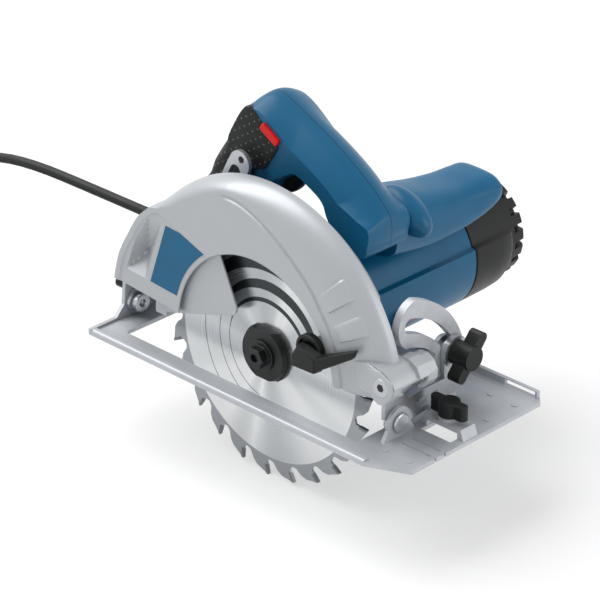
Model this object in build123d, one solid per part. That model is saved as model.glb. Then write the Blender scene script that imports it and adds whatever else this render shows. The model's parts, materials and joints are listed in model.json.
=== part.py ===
from build123d import *
import math
import os

# A corded circular saw, in millimetres. +X is the cutting direction, +Y the motor side, +Z up.
# The origin lies on the underside of the sole, under the blade's axis and halfway across the sole.

# Blade and cut
BLADE_DIA = 190.0
BLADE_BORE = 30.0
BLADE_TEETH = 24
BLADE_BODY = 1.6
BLADE_KERF = 2.6
TIP_LENGTH = 7.0
CUT_DEPTH = 70.0

# Sole
SOLE_FRONT = 151.0
SOLE_REAR = -142.0
SOLE_WIDTH = 146.0
SOLE_THICK = 3.0
RAIL_WIDTH = 6.0
RAIL_HEIGHT = 4.5
FAR_FLANGE_HEIGHT = 8.0
NEAR_TO_BLADE = 36.0
CUTOUT_FRONT = 100.0
CUTOUT_REAR = -122.0
CUTOUT_NEAR = -19.5
CUTOUT_FAR = 33.0
FENCE_WIDTH = 26.0
FENCE_BAR = 16.0
FENCE_HEIGHT = 4.4
FENCE_X = 131.0
FENCE_BOLT_Y = 35.5

# Bevel: axis along X, measured from the blade's plane and the sole
BEVEL_FROM_BLADE = 6.0
BEVEL_HEIGHT = 13.0
BEVEL_RANGE = 45.0
BEVEL_PIN_R = 4.0
QUADRANT_R = 64.0
QUADRANT_REST = 28.0
QUADRANT_FRONT = 107.7
QUADRANT_THICK = 6.0
STUD_R = 4.0
STUD_SLOT = 10.6
REAR_STUD_R = 20.6
REAR_STUD_REST = 48.0
SHEET = 3.0

# Depth hinge: axis along Y, measured from the blade's axis
HINGE_X = 116.0
HINGE_UP = 22.0
HINGE_PIN_R = 4.0
KNUCKLE_R = 14.0
BARREL_R = 9.0
ARC_R = 188.0
ARC_HALF = 9.0
ARC_NEAR = 18.3
CLAMP_REST = -7.0
QUADRANT_SWEEP = 51.0
DEPTH_RANGE = 34.0

# Guards, measured from the blade's axis and plane
GUARD_R = 122.0
GUARD_CENTRE = (-3.0, 2.0)
GUARD_CROWN_END = 138.0
GUARD_WALL = 3.5
GUARD_ROUND = 10.0
GUARD_SLOPE = 12.5
GUARD_FACE = -14.0
GUARD_BACK = 17.0
WINDOW_R = 73.5
RIM_GAP = 2.5
RIM_WALL = 3.0
LOWER_NEAR = -10.0
LOWER_FAR = 9.5
LOWER_PLATE = 1.6
LOWER_START = 8.0
LOWER_END = 181.0
LEVER_ANGLE = 26.0
LEVER_R = 59.0
LEVER_OUT = -18.0

# Gears, shafts and motor
MODULE = 1.0
GEAR_TEETH = 40
PINION_TEETH = 13
PRESSURE_ANGLE = 25.0
BACKLASH = 0.16
MOTOR_LEAN = 81.3
NOSE_R = 19.5
NOSE_NEAR = 6.8
SPINDLE_R = 7.5
SPINDLE_TAIL_R = 5.0
SPINDLE_BEARING_R = 16.0
FLANGE_R = 21.0
GEARCASE_FAR = 28.0
PLATE_FAR = 31.5
MOTOR_R = 41.0
MOTOR_WALL = 3.0
MOTOR_FAR = 146.0
CAP_FAR = 198.0
SHAFT_R = 5.0
CORE_R = 23.5
CORE_NEAR = 100.0
CORE_FAR = 140.0
AIR_GAP = 0.6

# Handle, measured from the blade's axis and plane
HANDLE_MID = 47.0
HANDLE_HALF = 19.0
HANDLE_WALL = 3.0
GRIP_THICK = 1.5
TRIGGER_HALF = 8.0
TRIGGER_ROOM = 4.5
PADDLE_FAR = 172.0

# Cord
CORD_DIA = 7.5
CORD_EXIT_X = -158.0
CORD_EXIT_UP = 32.3
COIL_MEAN_DIA = 90.0
COIL_TURNS = 7.25
COIL_STEP = 8.2
COIL_LAYER = 8.1
TIE_THICK = 1.2
TIE_WIDTH = 10.0
TAIL_LENGTH = 52.0
PLUG_LENGTH = 42.0

# Clearances
RUN = 0.05
SEAT = 0.02
GAP = 0.3

# Worked out from the above
BLADE_R = BLADE_DIA / 2
SPINDLE_Z = BLADE_R - CUT_DEPTH
BLADE_Y = NEAR_TO_BLADE - SOLE_WIDTH / 2
BEVEL_Y = BLADE_Y + BEVEL_FROM_BLADE
GEAR_R = MODULE * GEAR_TEETH / 2
PINION_R = MODULE * PINION_TEETH / 2
MOTOR_X = (GEAR_R + PINION_R) * math.cos(math.radians(MOTOR_LEAN))
MOTOR_UP = (GEAR_R + PINION_R) * math.sin(math.radians(MOTOR_LEAN))
FLOOR_Z = -CUT_DEPTH
RIM_R = BLADE_R + RIM_GAP
CORD_R = CORD_DIA / 2


def off(distance):
    """Y of a plane at this distance from the blade's mid-plane, towards the motor."""
    return BLADE_Y + distance


def polar(radius, degrees, centre=(0, 0)):
    """Point of a plane sketch at this radius and angle about a centre."""
    angle = math.radians(degrees)
    return (centre[0] + radius * math.cos(angle), centre[1] + radius * math.sin(angle))


def side(sketch, near, far):
    """Extrude a sketch of the side view (X, height over the blade's axis) between two blade distances."""
    plane = Plane(origin=(0, off(far), SPINDLE_Z), x_dir=(1, 0, 0), z_dir=(0, -1, 0))
    return extrude(plane * sketch, far - near)


def cross(sketch, rear, front):
    """Extrude a sketch of the end view (Y and Z about the bevel axis) between two X planes."""
    plane = Plane(origin=(rear, BEVEL_Y, BEVEL_HEIGHT), x_dir=(0, 1, 0), z_dir=(1, 0, 0))
    return extrude(plane * sketch, front - rear)


def plan(sketch, low, high):
    """Extrude a sketch of the plan view between two heights."""
    return extrude(Plane.XY.offset(low) * sketch, high - low)


def disc(radius, centre=(0, 0)):
    return Pos(*centre) * Circle(radius)


def rod(radius, near, far, centre=(0, 0)):
    """Round bar along Y between two blade distances."""
    return side(disc(radius, centre), near, far)


def bolt(radius, rear, front, centre=(0, 0)):
    """Round bar along X, its centre measured from the bevel axis."""
    return cross(disc(radius, centre), rear, front)


def tube(outer, inner, near, far, centre=(0, 0)):
    return side(disc(outer, centre) - disc(inner, centre), near, far)


def block(x0, x1, near, far, low, high):
    """Box between X planes, blade distances and heights over the blade's axis."""
    return side(Pos((x0 + x1) / 2, (low + high) / 2) * Rectangle(x1 - x0, high - low), near, far)


def area(*points, rounding=0.0):
    """Closed outline through the points, with its corners rounded if asked."""
    if rounding:
        return make_face(FilletPolyline(*points, radius=rounding, close=True))
    return make_face(Polyline(*points, close=True))


def link(*circles):
    """Tight outline round circles given as (radius, centre)."""
    return make_hull([edge for radius, centre in circles for edge in disc(radius, centre).edges()])


def sector(inner, outer, start, end, centre=(0, 0)):
    """Flat ring piece between two angles."""
    outside = ThreePointArc(polar(outer, start, centre), polar(outer, (start + end) / 2, centre),
                            polar(outer, end, centre))
    inside = ThreePointArc(polar(inner, end, centre), polar(inner, (start + end) / 2, centre),
                           polar(inner, start, centre))
    return make_face([outside, Line(outside @ 1, inside @ 0), inside, Line(inside @ 1, outside @ 0)])


def arc_slot(radius, start, end, width, centre=(0, 0)):
    """Slot along an arc, with round ends centred on its start and end angles."""
    return (sector(radius - width / 2, radius + width / 2, start, end, centre)
            + disc(width / 2, polar(radius, start, centre)) + disc(width / 2, polar(radius, end, centre)))


HINGE = (HINGE_X, HINGE_UP)
MOTOR = (MOTOR_X, MOTOR_UP)
QUADRANT_STUD = polar(QUADRANT_R, QUADRANT_REST)
REAR_STUD = polar(REAR_STUD_R, REAR_STUD_REST)
CLAMP = polar(ARC_R, 180 - CLAMP_REST, HINGE)


# Sole and what is fixed to it

def fence_bridge():
    """Raised strap of the sole that a rip fence's bar slides under."""
    half = FENCE_WIDTH / 2
    low = SOLE_THICK
    under = low + FENCE_HEIGHT
    top = under + SHEET
    foot = half + 3
    strap = area((-foot - SHEET, low), (-half - SHEET, top), (half + SHEET, top), (foot + SHEET, low),
                 (half + GAP, low), (half + GAP, under), (-half - GAP, under), (-half - GAP, low))
    strap = Pos(FENCE_X, -SPINDLE_Z) * strap
    bridge = side(strap, FENCE_BOLT_Y - 7, FENCE_BOLT_Y + 7)
    boss = Pos(FENCE_X, off(FENCE_BOLT_Y), top) * Cylinder(7, 3, align=(Align.CENTER, Align.CENTER, Align.MIN))
    return bridge + boss


def rear_flange():
    """Up-turned rear edge of the sole with the arc slot of the rear bevel lever."""
    near = -NEAR_TO_BLADE - BEVEL_FROM_BLADE
    low = -BEVEL_HEIGHT
    crown = REAR_STUD_R + 8.4
    start = polar(crown, 105)
    end = polar(crown, 40)
    top = ThreePointArc(start, polar(crown, 72), end)
    edge = Polyline(end, (30, low + 8), (36, low), (near, low), (near, low + RAIL_HEIGHT),
                    (-18, low + 5), (-10.5, low + 13), start)
    slot = arc_slot(REAR_STUD_R, REAR_STUD_REST - 2, REAR_STUD_REST + BEVEL_RANGE + 2, STUD_SLOT)
    face = make_face([top, *edge.edges()]) - slot - disc(BEVEL_PIN_R + SEAT)
    return cross(face, SOLE_REAR, SOLE_REAR + SHEET)


def front_ear():
    """Up-turned ear of the sole that carries the front bevel rivet."""
    front = QUADRANT_FRONT + GAP + SHEET + GAP
    foot = area((-17, -BEVEL_HEIGHT), (17, -BEVEL_HEIGHT), (9, 0), (-9, 0))
    return cross(foot + disc(11) - disc(BEVEL_PIN_R + SEAT), front, front + SHEET)


def base_plate():
    half = SOLE_WIDTH / 2
    outline = area((SOLE_REAR, -half), (SOLE_FRONT - 30, -half), (SOLE_FRONT, -half + 14),
                   (SOLE_FRONT, half - 5), (SOLE_FRONT - 5, half), (SOLE_REAR, half))
    cutout = Pos((CUTOUT_FRONT + CUTOUT_REAR) / 2, off((CUTOUT_NEAR + CUTOUT_FAR) / 2))
    outline -= cutout * RectangleRounded(CUTOUT_FRONT - CUTOUT_REAR, CUTOUT_FAR - CUTOUT_NEAR, 4)
    outline -= Pos(FENCE_X, off(FENCE_BOLT_Y - 3)) * Rectangle(FENCE_WIDTH, 20)
    for mark in (0, 9.3):
        outline -= Pos(SOLE_FRONT - 17, off(mark)) * SlotOverall(26, 2)
        outline -= Pos(SOLE_FRONT, off(mark)) * Rectangle(3, 2)
    plate = plan(outline, 0, SOLE_THICK)
    rail = RectangleRounded(RAIL_WIDTH, 2 * RAIL_HEIGHT, 2)
    rail &= Pos(0, RAIL_HEIGHT) * Rectangle(99, 2 * RAIL_HEIGHT)
    rail = Pos(-NEAR_TO_BLADE - BEVEL_FROM_BLADE + RAIL_WIDTH / 2, -BEVEL_HEIGHT) * rail
    plate += cross(rail, SOLE_REAR, SOLE_FRONT - 30)
    flange = Pos(half - BEVEL_Y - SHEET / 2, FAR_FLANGE_HEIGHT / 2 - BEVEL_HEIGHT)
    flange = flange * Rectangle(SHEET, FAR_FLANGE_HEIGHT)
    plate += cross(flange, SOLE_REAR + 12, SOLE_FRONT - 5)
    plate += rear_flange() + front_ear() + fence_bridge()
    plate -= rod(MOTOR_R + 1, PLATE_FAR, CAP_FAR + 2, MOTOR)
    mouth = Pos(half - BEVEL_Y, SOLE_THICK + FENCE_HEIGHT / 2 - BEVEL_HEIGHT) * Rectangle(9, FENCE_HEIGHT)
    plate -= cross(mouth, FENCE_X - FENCE_WIDTH / 2 - GAP, FENCE_X + FENCE_WIDTH / 2 + GAP)
    plate -= Pos(FENCE_X, off(FENCE_BOLT_Y), 0) * Cylinder(4 + RUN, 40)
    guide = FENCE_BAR / 2 + 2.5
    for x in (FENCE_X - guide, FENCE_X + guide):
        for y in (-15, 62, 90):
            plate += Pos(x, off(y), SOLE_THICK) * Cylinder(2.5, 1.2)
    return plate


def front_bevel_quadrant():
    """C-shaped guide on the sole, with the arc slot of the front bevel knob."""
    top = QUADRANT_REST + BEVEL_RANGE + 2.5
    low = QUADRANT_REST - 9
    outer = ThreePointArc(polar(QUADRANT_R + 11, low), polar(QUADRANT_R + 15, 45), polar(QUADRANT_R + 18, top))
    end = ThreePointArc(outer @ 1, polar(QUADRANT_R, top + 10), polar(QUADRANT_R - 16, top))
    inner = ThreePointArc(end @ 1, polar(QUADRANT_R - 13, 50), polar(QUADRANT_R - 10, low))
    band = make_face([outer, end, inner, Line(inner @ 1, outer @ 0)])
    foot = SOLE_THICK - BEVEL_HEIGHT
    post = area(polar(QUADRANT_R - 10, 40), polar(QUADRANT_R + 11, low), (62, foot), (38, foot))
    slot = arc_slot(QUADRANT_R, QUADRANT_REST - 2.5, top, STUD_SLOT)
    rear = QUADRANT_FRONT - QUADRANT_THICK
    guide = cross(band + post - slot, rear, QUADRANT_FRONT)
    return guide + cross(Pos(50, foot + 1.5) * Rectangle(24, 3), rear - 12, rear + 1)


def front_pivot_rivet():
    """Pin of the front bevel pivot, with a domed head outside the sole's ear."""
    ear = QUADRANT_FRONT + GAP + SHEET + GAP
    head = bolt(7, ear + SHEET, ear + SHEET + 2.5)
    return head + bolt(BEVEL_PIN_R, QUADRANT_FRONT - 2, ear + SHEET)


def rear_pivot_bolt():
    """Pin of the rear bevel pivot, its socket head in front of the tilt tab."""
    tab = SOLE_REAR + 2 * (SHEET + GAP)
    pin = bolt(BEVEL_PIN_R, SOLE_REAR - 2, tab) + bolt(7, tab, tab + 4.5)
    return pin - cross(RegularPolygon(3, 6), tab + 1.5, tab + 5)


def wings(hub_r, reach, thick):
    """Outline of a wing knob seen along its axis."""
    wing = Pos(reach / 2, 0) * RectangleRounded(reach, thick, thick / 2 - 0.2)
    return disc(hub_r) + wing + Rot(0, 0, 180) * wing


def fence_wing_bolt():
    """Wing bolt that clamps the fence's bar, standing on the bridge."""
    top = SOLE_THICK + FENCE_HEIGHT + SHEET + 3
    place = Pos(FENCE_X, off(FENCE_BOLT_Y), 0)
    grip = plan(wings(7.5, 15, 7), top + GAP, top + 11)
    screw = plan(disc(4), SOLE_THICK + FENCE_HEIGHT, top + 4)
    return place * (grip + screw)


# Tilting frame

def front_tilt_bracket():
    """Sheet bracket from the bevel rivet to the bevel knob, with the barrel of the depth hinge."""
    rear = QUADRANT_FRONT + GAP
    front = rear + SHEET
    stud = QUADRANT_STUD
    strip = area((-4, -5), (14, -5), (stud[0] + 14, 1), (stud[0] + 14, 13), (20, 13), (-4, 10), rounding=2)
    strip += link((9, (0, 0)), (8, (6, 2)))
    strip += link((11, stud), (9, (stud[0], 8)))
    for x in (26, 37, 68):
        strip -= Pos(x, 5) * RectangleRounded(7, 5, 1)
    bracket = cross(strip - disc(BEVEL_PIN_R + RUN) - disc(STUD_R + SEAT, stud), rear, front)
    near = -5.0
    far = near + 22
    base = BEVEL_HEIGHT - SPINDLE_Z
    bracket += block(rear, front, near, far, base + 4, HINGE_UP)
    bracket += block(rear, HINGE_X, near, far, HINGE_UP - 4, HINGE_UP + 4)
    bracket += rod(BARREL_R, near, far, HINGE)
    return bracket - rod(HINGE_PIN_R + SEAT, near - 1, far + 1, HINGE)


def depth_arc():
    """Slotted arc about the depth hinge, its foot and the tab on the rear bevel pivot."""
    near = ARC_NEAR
    far = near + SHEET
    low = 180 - CLAMP_REST
    high = low - DEPTH_RANGE
    band = sector(ARC_R - ARC_HALF, ARC_R + ARC_HALF, high - 4, low + 5, HINGE)
    band += disc(ARC_HALF, polar(ARC_R, high - 4, HINGE))
    foot_end = polar(ARC_R - ARC_HALF, low + 5, HINGE)
    tab_rear = SOLE_REAR + SHEET + GAP
    foot_low = BEVEL_HEIGHT - SPINDLE_Z - 3
    band += area((tab_rear, foot_low), (foot_end[0], foot_low), polar(ARC_R + ARC_HALF, low - 1, HINGE),
                 (tab_rear, foot_low + 11))
    band -= arc_slot(ARC_R, high - 1.5, low + 1.5, STUD_SLOT - 1, HINGE)
    band -= disc(2.6, polar(ARC_R, high - 5, HINGE))
    tab = link((9, (0, 0)), (8, REAR_STUD))
    tab += area((6, -3), (far - BEVEL_FROM_BLADE, -3), (far - BEVEL_FROM_BLADE, 15), (6, 15))
    tab -= disc(BEVEL_PIN_R + RUN) + disc(STUD_R + SEAT, REAR_STUD)
    return side(band, near, far) + cross(tab, tab_rear, tab_rear + SHEET)


def depth_pivot_bolt():
    """Socket bolt through the guard's knuckle and the bracket's barrel."""
    pin = rod(HINGE_PIN_R, -13, 27, HINGE) + rod(6.5, -15.5, -12, HINGE)
    return pin - side(Pos(*HINGE) * RegularPolygon(3, 6), -16, -13.5)


def front_bevel_bolt():
    rear = QUADRANT_FRONT - QUADRANT_THICK
    shank = bolt(STUD_R, rear - 1, QUADRANT_FRONT + 16, QUADRANT_STUD)
    return shank + bolt(8, rear - 3.5, rear - GAP, QUADRANT_STUD)


def front_bevel_washer():
    front = QUADRANT_FRONT + GAP + SHEET
    return cross(disc(11, QUADRANT_STUD) - disc(STUD_R + RUN, QUADRANT_STUD), front, front + 1.5)


def front_bevel_knob():
    """Wing knob on the front bevel bolt."""
    start = QUADRANT_FRONT + GAP + SHEET + 1.5 + GAP
    place = Pos(*QUADRANT_STUD) * Rot(0, 0, 50)
    grip = cross(place * wings(7.5, 19, 8), start + 4, start + 14)
    grip += cross(place * disc(8.5), start, start + 15.5)
    return grip - bolt(STUD_R + RUN, start - 1, QUADRANT_FRONT + 16 + GAP, QUADRANT_STUD)


def rear_bevel_bolt():
    tab = SOLE_REAR + SHEET + GAP
    shank = bolt(STUD_R, SOLE_REAR - 12, tab + SHEET, REAR_STUD)
    return shank + bolt(6, tab + SHEET, tab + SHEET + 2.5, REAR_STUD)


def rear_bevel_lever():
    """Clamp lever on the rear bevel bolt, behind the sole's flange."""
    rear = SOLE_REAR - 14
    tip = polar(14, 206, REAR_STUD)
    grip = cross(link((8, REAR_STUD), (4.5, tip)), rear, rear + 8)
    grip += cross(disc(7.6, REAR_STUD), rear + 1, SOLE_REAR - GAP)
    return grip - bolt(STUD_R + RUN, SOLE_REAR - 12 - GAP, SOLE_REAR, REAR_STUD)


# Guards

def guard_outline(inset, floor):
    """Side view of the upper guard, drawn in by a wall and down to a floor."""
    radius = GUARD_R - inset
    start = polar(radius, 8, GUARD_CENTRE)
    end = polar(radius, GUARD_CROWN_END, GUARD_CENTRE)
    crown = ThreePointArc(start, polar(radius, 70, GUARD_CENTRE), end)
    back = Polyline(end, (-99.5 + inset, 80.5 - inset / 2), (-111 + inset, 70 - inset / 2),
                    (-121.5 + inset, 53.5), (-131.5 + inset, 35.5), (-137.5 + inset, floor),
                    (-72, floor), (70, min(floor, 17)), (105, min(floor, 8)), start)
    return make_face([crown, *back.edges()])


def guard_body():
    """Outside of the upper guard, its near edge rounded and its crown sloped down to the back."""
    body = side(guard_outline(0, 13.5), GUARD_FACE, GUARD_BACK)
    face = body.faces().sort_by(Axis.Y)[0]
    body = fillet([edge for edge in face.edges() if edge.center().Z > SPINDLE_Z + 20], GUARD_ROUND)
    rear = area((-95, 80), (-99.5, 80.5), (-111, 70), (-121.5, 53.5), (-131.5, 35.5), (-137.5, 13.5),
                (-110, 13.5), (-70, 70))
    body += side(rear, GUARD_FACE, 0)
    start = GUARD_BACK - GUARD_SLOPE - 1.5
    plane = Plane(origin=(0, off(start), SPINDLE_Z), x_dir=(1, 0, 0), z_dir=(0, 1, 0))
    crown = plane * Pos(GUARD_CENTRE[0], -GUARD_CENTRE[1]) * Circle(GUARD_R)
    cone = extrude(crown, GUARD_BACK - start, taper=math.degrees(math.atan2(GUARD_SLOPE, GUARD_BACK - start)))
    wedge = rod(GUARD_R + 4, start, GUARD_BACK, GUARD_CENTRE) - cone
    rear = polar(GUARD_R, GUARD_CROWN_END, GUARD_CENTRE)[0]
    return body - (wedge & block(rear, HINGE_X + 20, start - 1, GUARD_BACK + 1, 0, 2 * GUARD_R))


def upper_guard():
    """Cast guard: face with the blade window, rim, back wall with the gear case's seat, hinge knuckle."""
    guard = guard_body()
    back = link((NOSE_R + 4, (0, 0)), (NOSE_R + 14, (0, 40))) + link((9, CLAMP), (20, (-60, 34)))
    guard += side(back, GUARD_BACK - 4, GUARD_BACK)
    guard -= side(guard_outline(GUARD_SLOPE, -60), GUARD_FACE + 3, GUARD_BACK - 4)
    guard -= side(guard_outline(GUARD_WALL + 0.5, -60), GUARD_FACE + 6, GUARD_BACK - 13)
    guard -= rod(QUADRANT_SWEEP, LOWER_FAR, GUARD_BACK + 1, HINGE)
    guard -= rod(WINDOW_R, GUARD_FACE - 1, GUARD_FACE + 4)
    guard -= rod(NOSE_R + SEAT, GUARD_BACK - 5, GUARD_BACK + 1)
    guard -= rod(STUD_R + SEAT, GUARD_BACK - 5, GUARD_BACK + 1, CLAMP)
    ejector = area((-101.5, 74), (-88.3, 71.5), (-105.4, 23.8), (-128.5, 25), (-117, 50), rounding=2)
    guard -= side(ejector, GUARD_FACE - 1, GUARD_FACE + 8)
    guard += rod(KNUCKLE_R, -16, 28, HINGE)
    guard -= block(103, HINGE_X + 20, -6.3, 18.3, -40, HINGE_UP - 4)
    guard -= rod(BARREL_R + 1.5, -6.3, 18.3, HINGE)
    guard -= rod(HINGE_PIN_R + RUN, -17, 29, HINGE) + rod(7, -17, -12, HINGE)
    guard -= side(sector(HINGE_PIN_R + 4.5, KNUCKLE_R + 2, 118, 272, HINGE), GUARD_BACK + 1.3, 29)
    for spot in GUARD_SCREWS:
        guard -= rod(2.5 + SEAT, GUARD_BACK - 5, GUARD_BACK + 1, spot)
    return guard


def label_plate():
    """Bare label on the guard's face, its front edge round the blade window."""
    near = WINDOW_R + 4
    corner = polar(near, 120)
    curve = ThreePointArc(corner, polar(near, 142), polar(near, 164))
    rest = Polyline(curve @ 1, (-100.5, 23.2), (-84, 70.6), corner)
    return side(make_face([curve, *rest.edges()]), GUARD_FACE - 0.4, GUARD_FACE)


GUARD_SCREWS = [polar(27, angle, MOTOR) for angle in (20, 90, 160)]


def guard_screws():
    screws = [rod(2.5, GUARD_BACK - 4, GUARD_BACK + 8, spot) + rod(4.5, GUARD_BACK - 6.5, GUARD_BACK - 4, spot)
              for spot in GUARD_SCREWS]
    return Compound(screws)


def lower_guard():
    """Swinging guard: rim, plates either side of the blade, and the hub that turns on the gear case's nose."""
    rim_out = RIM_R + RIM_WALL
    guard = side(sector(RIM_R, rim_out, LOWER_START, LOWER_END), LOWER_NEAR, LOWER_FAR)
    hub = NOSE_R + GAP
    plate = sector(hub, rim_out, LOWER_START, LOWER_END) + disc(hub + 6.5) - disc(hub)
    guard += side(plate, LOWER_FAR - LOWER_PLATE, LOWER_FAR)
    guard += tube(hub + 6.5, hub, LOWER_FAR - LOWER_PLATE, LOWER_FAR + 2.5)
    face = sector(RIM_R - 8, rim_out, LOWER_START, LOWER_END)
    face += area(polar(30, 127), polar(rim_out - 1, 118), polar(rim_out - 1, 149),
                 polar(rim_out - 1, LOWER_END))
    face += area(polar(LEVER_R - 8, LEVER_ANGLE - 8), polar(rim_out - 1, LEVER_ANGLE - 10),
                 polar(rim_out - 1, LEVER_ANGLE + 6), polar(LEVER_R - 8, LEVER_ANGLE + 8))
    return guard + side(face, LOWER_NEAR, LOWER_NEAR + LOWER_PLATE)


def guard_lever():
    """Thumb lever that draws the lower guard back."""
    knob = link((7, polar(LEVER_R, LEVER_ANGLE)), (5, polar(LEVER_R + 7, LEVER_ANGLE - 5)))
    ring = disc(3.5, polar(LEVER_R, LEVER_ANGLE))
    return side(knob, LEVER_OUT, LOWER_NEAR) - side(ring, LEVER_OUT - 1, LEVER_OUT + 4)


def guard_spring():
    """Closing spring of the lower guard, coiled round its hub, as its outer shape."""
    inner = NOSE_R + GAP + 6.5 + GAP
    return tube(inner + 2.5, inner, LOWER_FAR + GAP, GUARD_BACK - 4)


# Blade, spindle and gears

def tooth_points(index):
    """Outline of one tooth, from the seat of its tip round the gullet to the next tooth's back."""
    pitch = 360 / BLADE_TEETH
    angle = index * pitch
    steps = ((0.4, -1.2), (TIP_LENGTH, -2.1), (TIP_LENGTH, -0.9), (10, -1.2), (12, 0.8), (11, 3.2),
             (6, 5.6), (3.2, 8))
    return [polar(BLADE_R - drop, angle + turn) for drop, turn in steps]


def saw_blade():
    outline = area(*[point for index in range(BLADE_TEETH) for point in tooth_points(index)])
    return side(outline - disc(BLADE_BORE / 2), -BLADE_BODY / 2, BLADE_BODY / 2)


def carbide_tips():
    """Brazed tips on the leading face of every tooth."""
    steps = ((0, 0), (TIP_LENGTH, -0.9), (TIP_LENGTH, -2.1), (0.4, -1.2))
    tips = []
    for index in range(BLADE_TEETH):
        angle = index * 360 / BLADE_TEETH
        tips.append(side(area(*[polar(BLADE_R - drop, angle + turn) for drop, turn in steps]),
                         -BLADE_KERF / 2, BLADE_KERF / 2))
    return Compound(tips)


def gear_outline(teeth, turn):
    """Involute gear with stub teeth and backlash, one tooth centred on the given angle."""
    pitch_r = MODULE * teeth / 2
    tip_r = pitch_r + 0.8 * MODULE
    root_r = pitch_r - 1.05 * MODULE
    pressure = math.radians(PRESSURE_ANGLE)
    base_r = pitch_r * math.cos(pressure)
    half = (math.pi * MODULE / 2 - BACKLASH) / (2 * pitch_r) + math.tan(pressure) - pressure
    start_r = max(base_r, root_r)
    flank = []
    for step in range(5):
        radius = start_r + (tip_r - start_r) * step / 4
        roll = math.acos(min(1, base_r / radius))
        flank.append((radius, math.degrees(half - math.tan(roll) + roll)))
    points = []
    for index in range(teeth):
        centre = turn + index * 360 / teeth
        points.append(polar(root_r, centre - flank[0][1] - 0.3))
        points += [polar(radius, centre - angle) for radius, angle in flank]
        points += [polar(radius, centre + angle) for radius, angle in reversed(flank)]
        points.append(polar(root_r, centre + flank[0][1] + 0.3))
    return area(*points)


GEAR_NEAR = 19.8
GEAR_FAR = 26.8


def drive_gear():
    return side(gear_outline(GEAR_TEETH, MOTOR_LEAN) - disc(SPINDLE_R + SEAT), GEAR_NEAR, GEAR_FAR)


def drive_pinion():
    turn = MOTOR_LEAN + 180 + 180 / PINION_TEETH
    return side(Pos(*MOTOR) * (gear_outline(PINION_TEETH, turn) - disc(3.5 + SEAT)), GEAR_NEAR, GEAR_FAR + 0.6)


def spindle():
    shaft = rod(SPINDLE_R, -BLADE_BODY / 2, GEAR_FAR + 0.5) + rod(SPINDLE_TAIL_R, GEAR_FAR, PLATE_FAR - 0.5)
    return shaft - rod(4 + SEAT, -BLADE_BODY / 2 - 1, 15)


def inner_flange():
    """Driving flange with the boss that centres the blade."""
    near = BLADE_BODY / 2
    flange = rod(FLANGE_R, near, NOSE_NEAR - 0.5) + rod(BLADE_BORE / 2 - SEAT, -near + 0.2, near)
    return flange - rod(SPINDLE_R + SEAT, -near - 1, NOSE_NEAR)


def outer_flange():
    """Clamping flange with two spanner flats."""
    far = -BLADE_BODY / 2
    cup = extrude(Plane(origin=(0, off(far), SPINDLE_Z), x_dir=(1, 0, 0), z_dir=(0, -1, 0)) * Circle(FLANGE_R),
                  5.5, taper=20)
    body = rod(FLANGE_R, far - 2, far) + cup
    body &= side(Rectangle(2 * FLANGE_R + 2, 36), far - 8, far + 1)
    return body - rod(4 + SEAT, far - 8, far + 1)


def blade_bolt():
    """Hex bolt with its washer, screwed into the spindle."""
    head = -BLADE_BODY / 2 - 5.5
    screw = rod(4, head, 14) + rod(11, head - 1.8, head) + side(RegularPolygon(8, 6), head - 8, head - 1.8)
    return screw - side(RegularPolygon(3.4, 6), head - 9, head - 4)


def spindle_bearing():
    return tube(SPINDLE_BEARING_R - SEAT, SPINDLE_R + RUN, NOSE_NEAR + 0.6, NOSE_NEAR + 9.6)


def spindle_bush():
    return tube(8, SPINDLE_TAIL_R + RUN, GEARCASE_FAR, PLATE_FAR)


def gear_housing():
    """Cast gear case: bearing nose that the lower guard turns on, and the pocket of the two gears."""
    shape = link((GEAR_R + 3.9, (0, 0)), (34, MOTOR))
    case = side(shape, GUARD_BACK, GEARCASE_FAR) + rod(NOSE_R, NOSE_NEAR, GUARD_BACK)
    pocket = disc(GEAR_R + 1.6) + disc(PINION_R + 1.6, MOTOR)
    case -= side(pocket, GEAR_NEAR - 0.6, GEARCASE_FAR + 1)
    case -= rod(SPINDLE_BEARING_R, NOSE_NEAR - 1, NOSE_NEAR + 9.6) + rod(SPINDLE_R + 1, 0, GEAR_NEAR)
    for spot in GUARD_SCREWS:
        case -= rod(2.5 + SEAT, GUARD_BACK - 1, GUARD_BACK + 8, spot)
    return case


def bearing_plate():
    """Plate between gear case and motor with the seats of spindle bush and armature bearing."""
    plate = side(link((14, (0, 0)), (34, MOTOR)), GEARCASE_FAR, PLATE_FAR)
    plate += rod(16, PLATE_FAR, PLATE_FAR + 6, MOTOR)
    plate -= rod(8 + SEAT, GEARCASE_FAR - 1, PLATE_FAR + 1)
    return plate - rod(13, GEARCASE_FAR + 1, PLATE_FAR + 7, MOTOR) - rod(SHAFT_R + 1, 0, PLATE_FAR, MOTOR)


# Motor

def motor_housing():
    """Moulded motor tube with a front flange, screw bosses and the pocket of the lock button."""
    inner = MOTOR_R - MOTOR_WALL
    shell = tube(MOTOR_R, inner, PLATE_FAR, MOTOR_FAR, MOTOR)
    collar = tube(inner + 1, 34 + SEAT, PLATE_FAR, PLATE_FAR + 4, MOTOR)
    shell += collar & rod(99, PLATE_FAR, PLATE_FAR + 3, MOTOR)
    for spot in CAP_SCREWS:
        boss = rod(5.5, CORE_FAR + 1, MOTOR_FAR, spot) & rod(inner + 1, 0, CAP_FAR, MOTOR)
        shell += boss - rod(2 + SEAT, 0, CAP_FAR, spot)
    x, up = LOCK_BUTTON
    seat = block(x - 6, x + 1.5, LOCK_NEAR - 3, LOCK_FAR + 3, up - 8, up + 8)
    shell += seat - rod(inner + 1, 0, CAP_FAR, MOTOR)
    return shell - block(x - 14, x + 9, LOCK_NEAR - GAP, LOCK_FAR + GAP, up - 5 - GAP, up + 5 + GAP)


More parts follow.
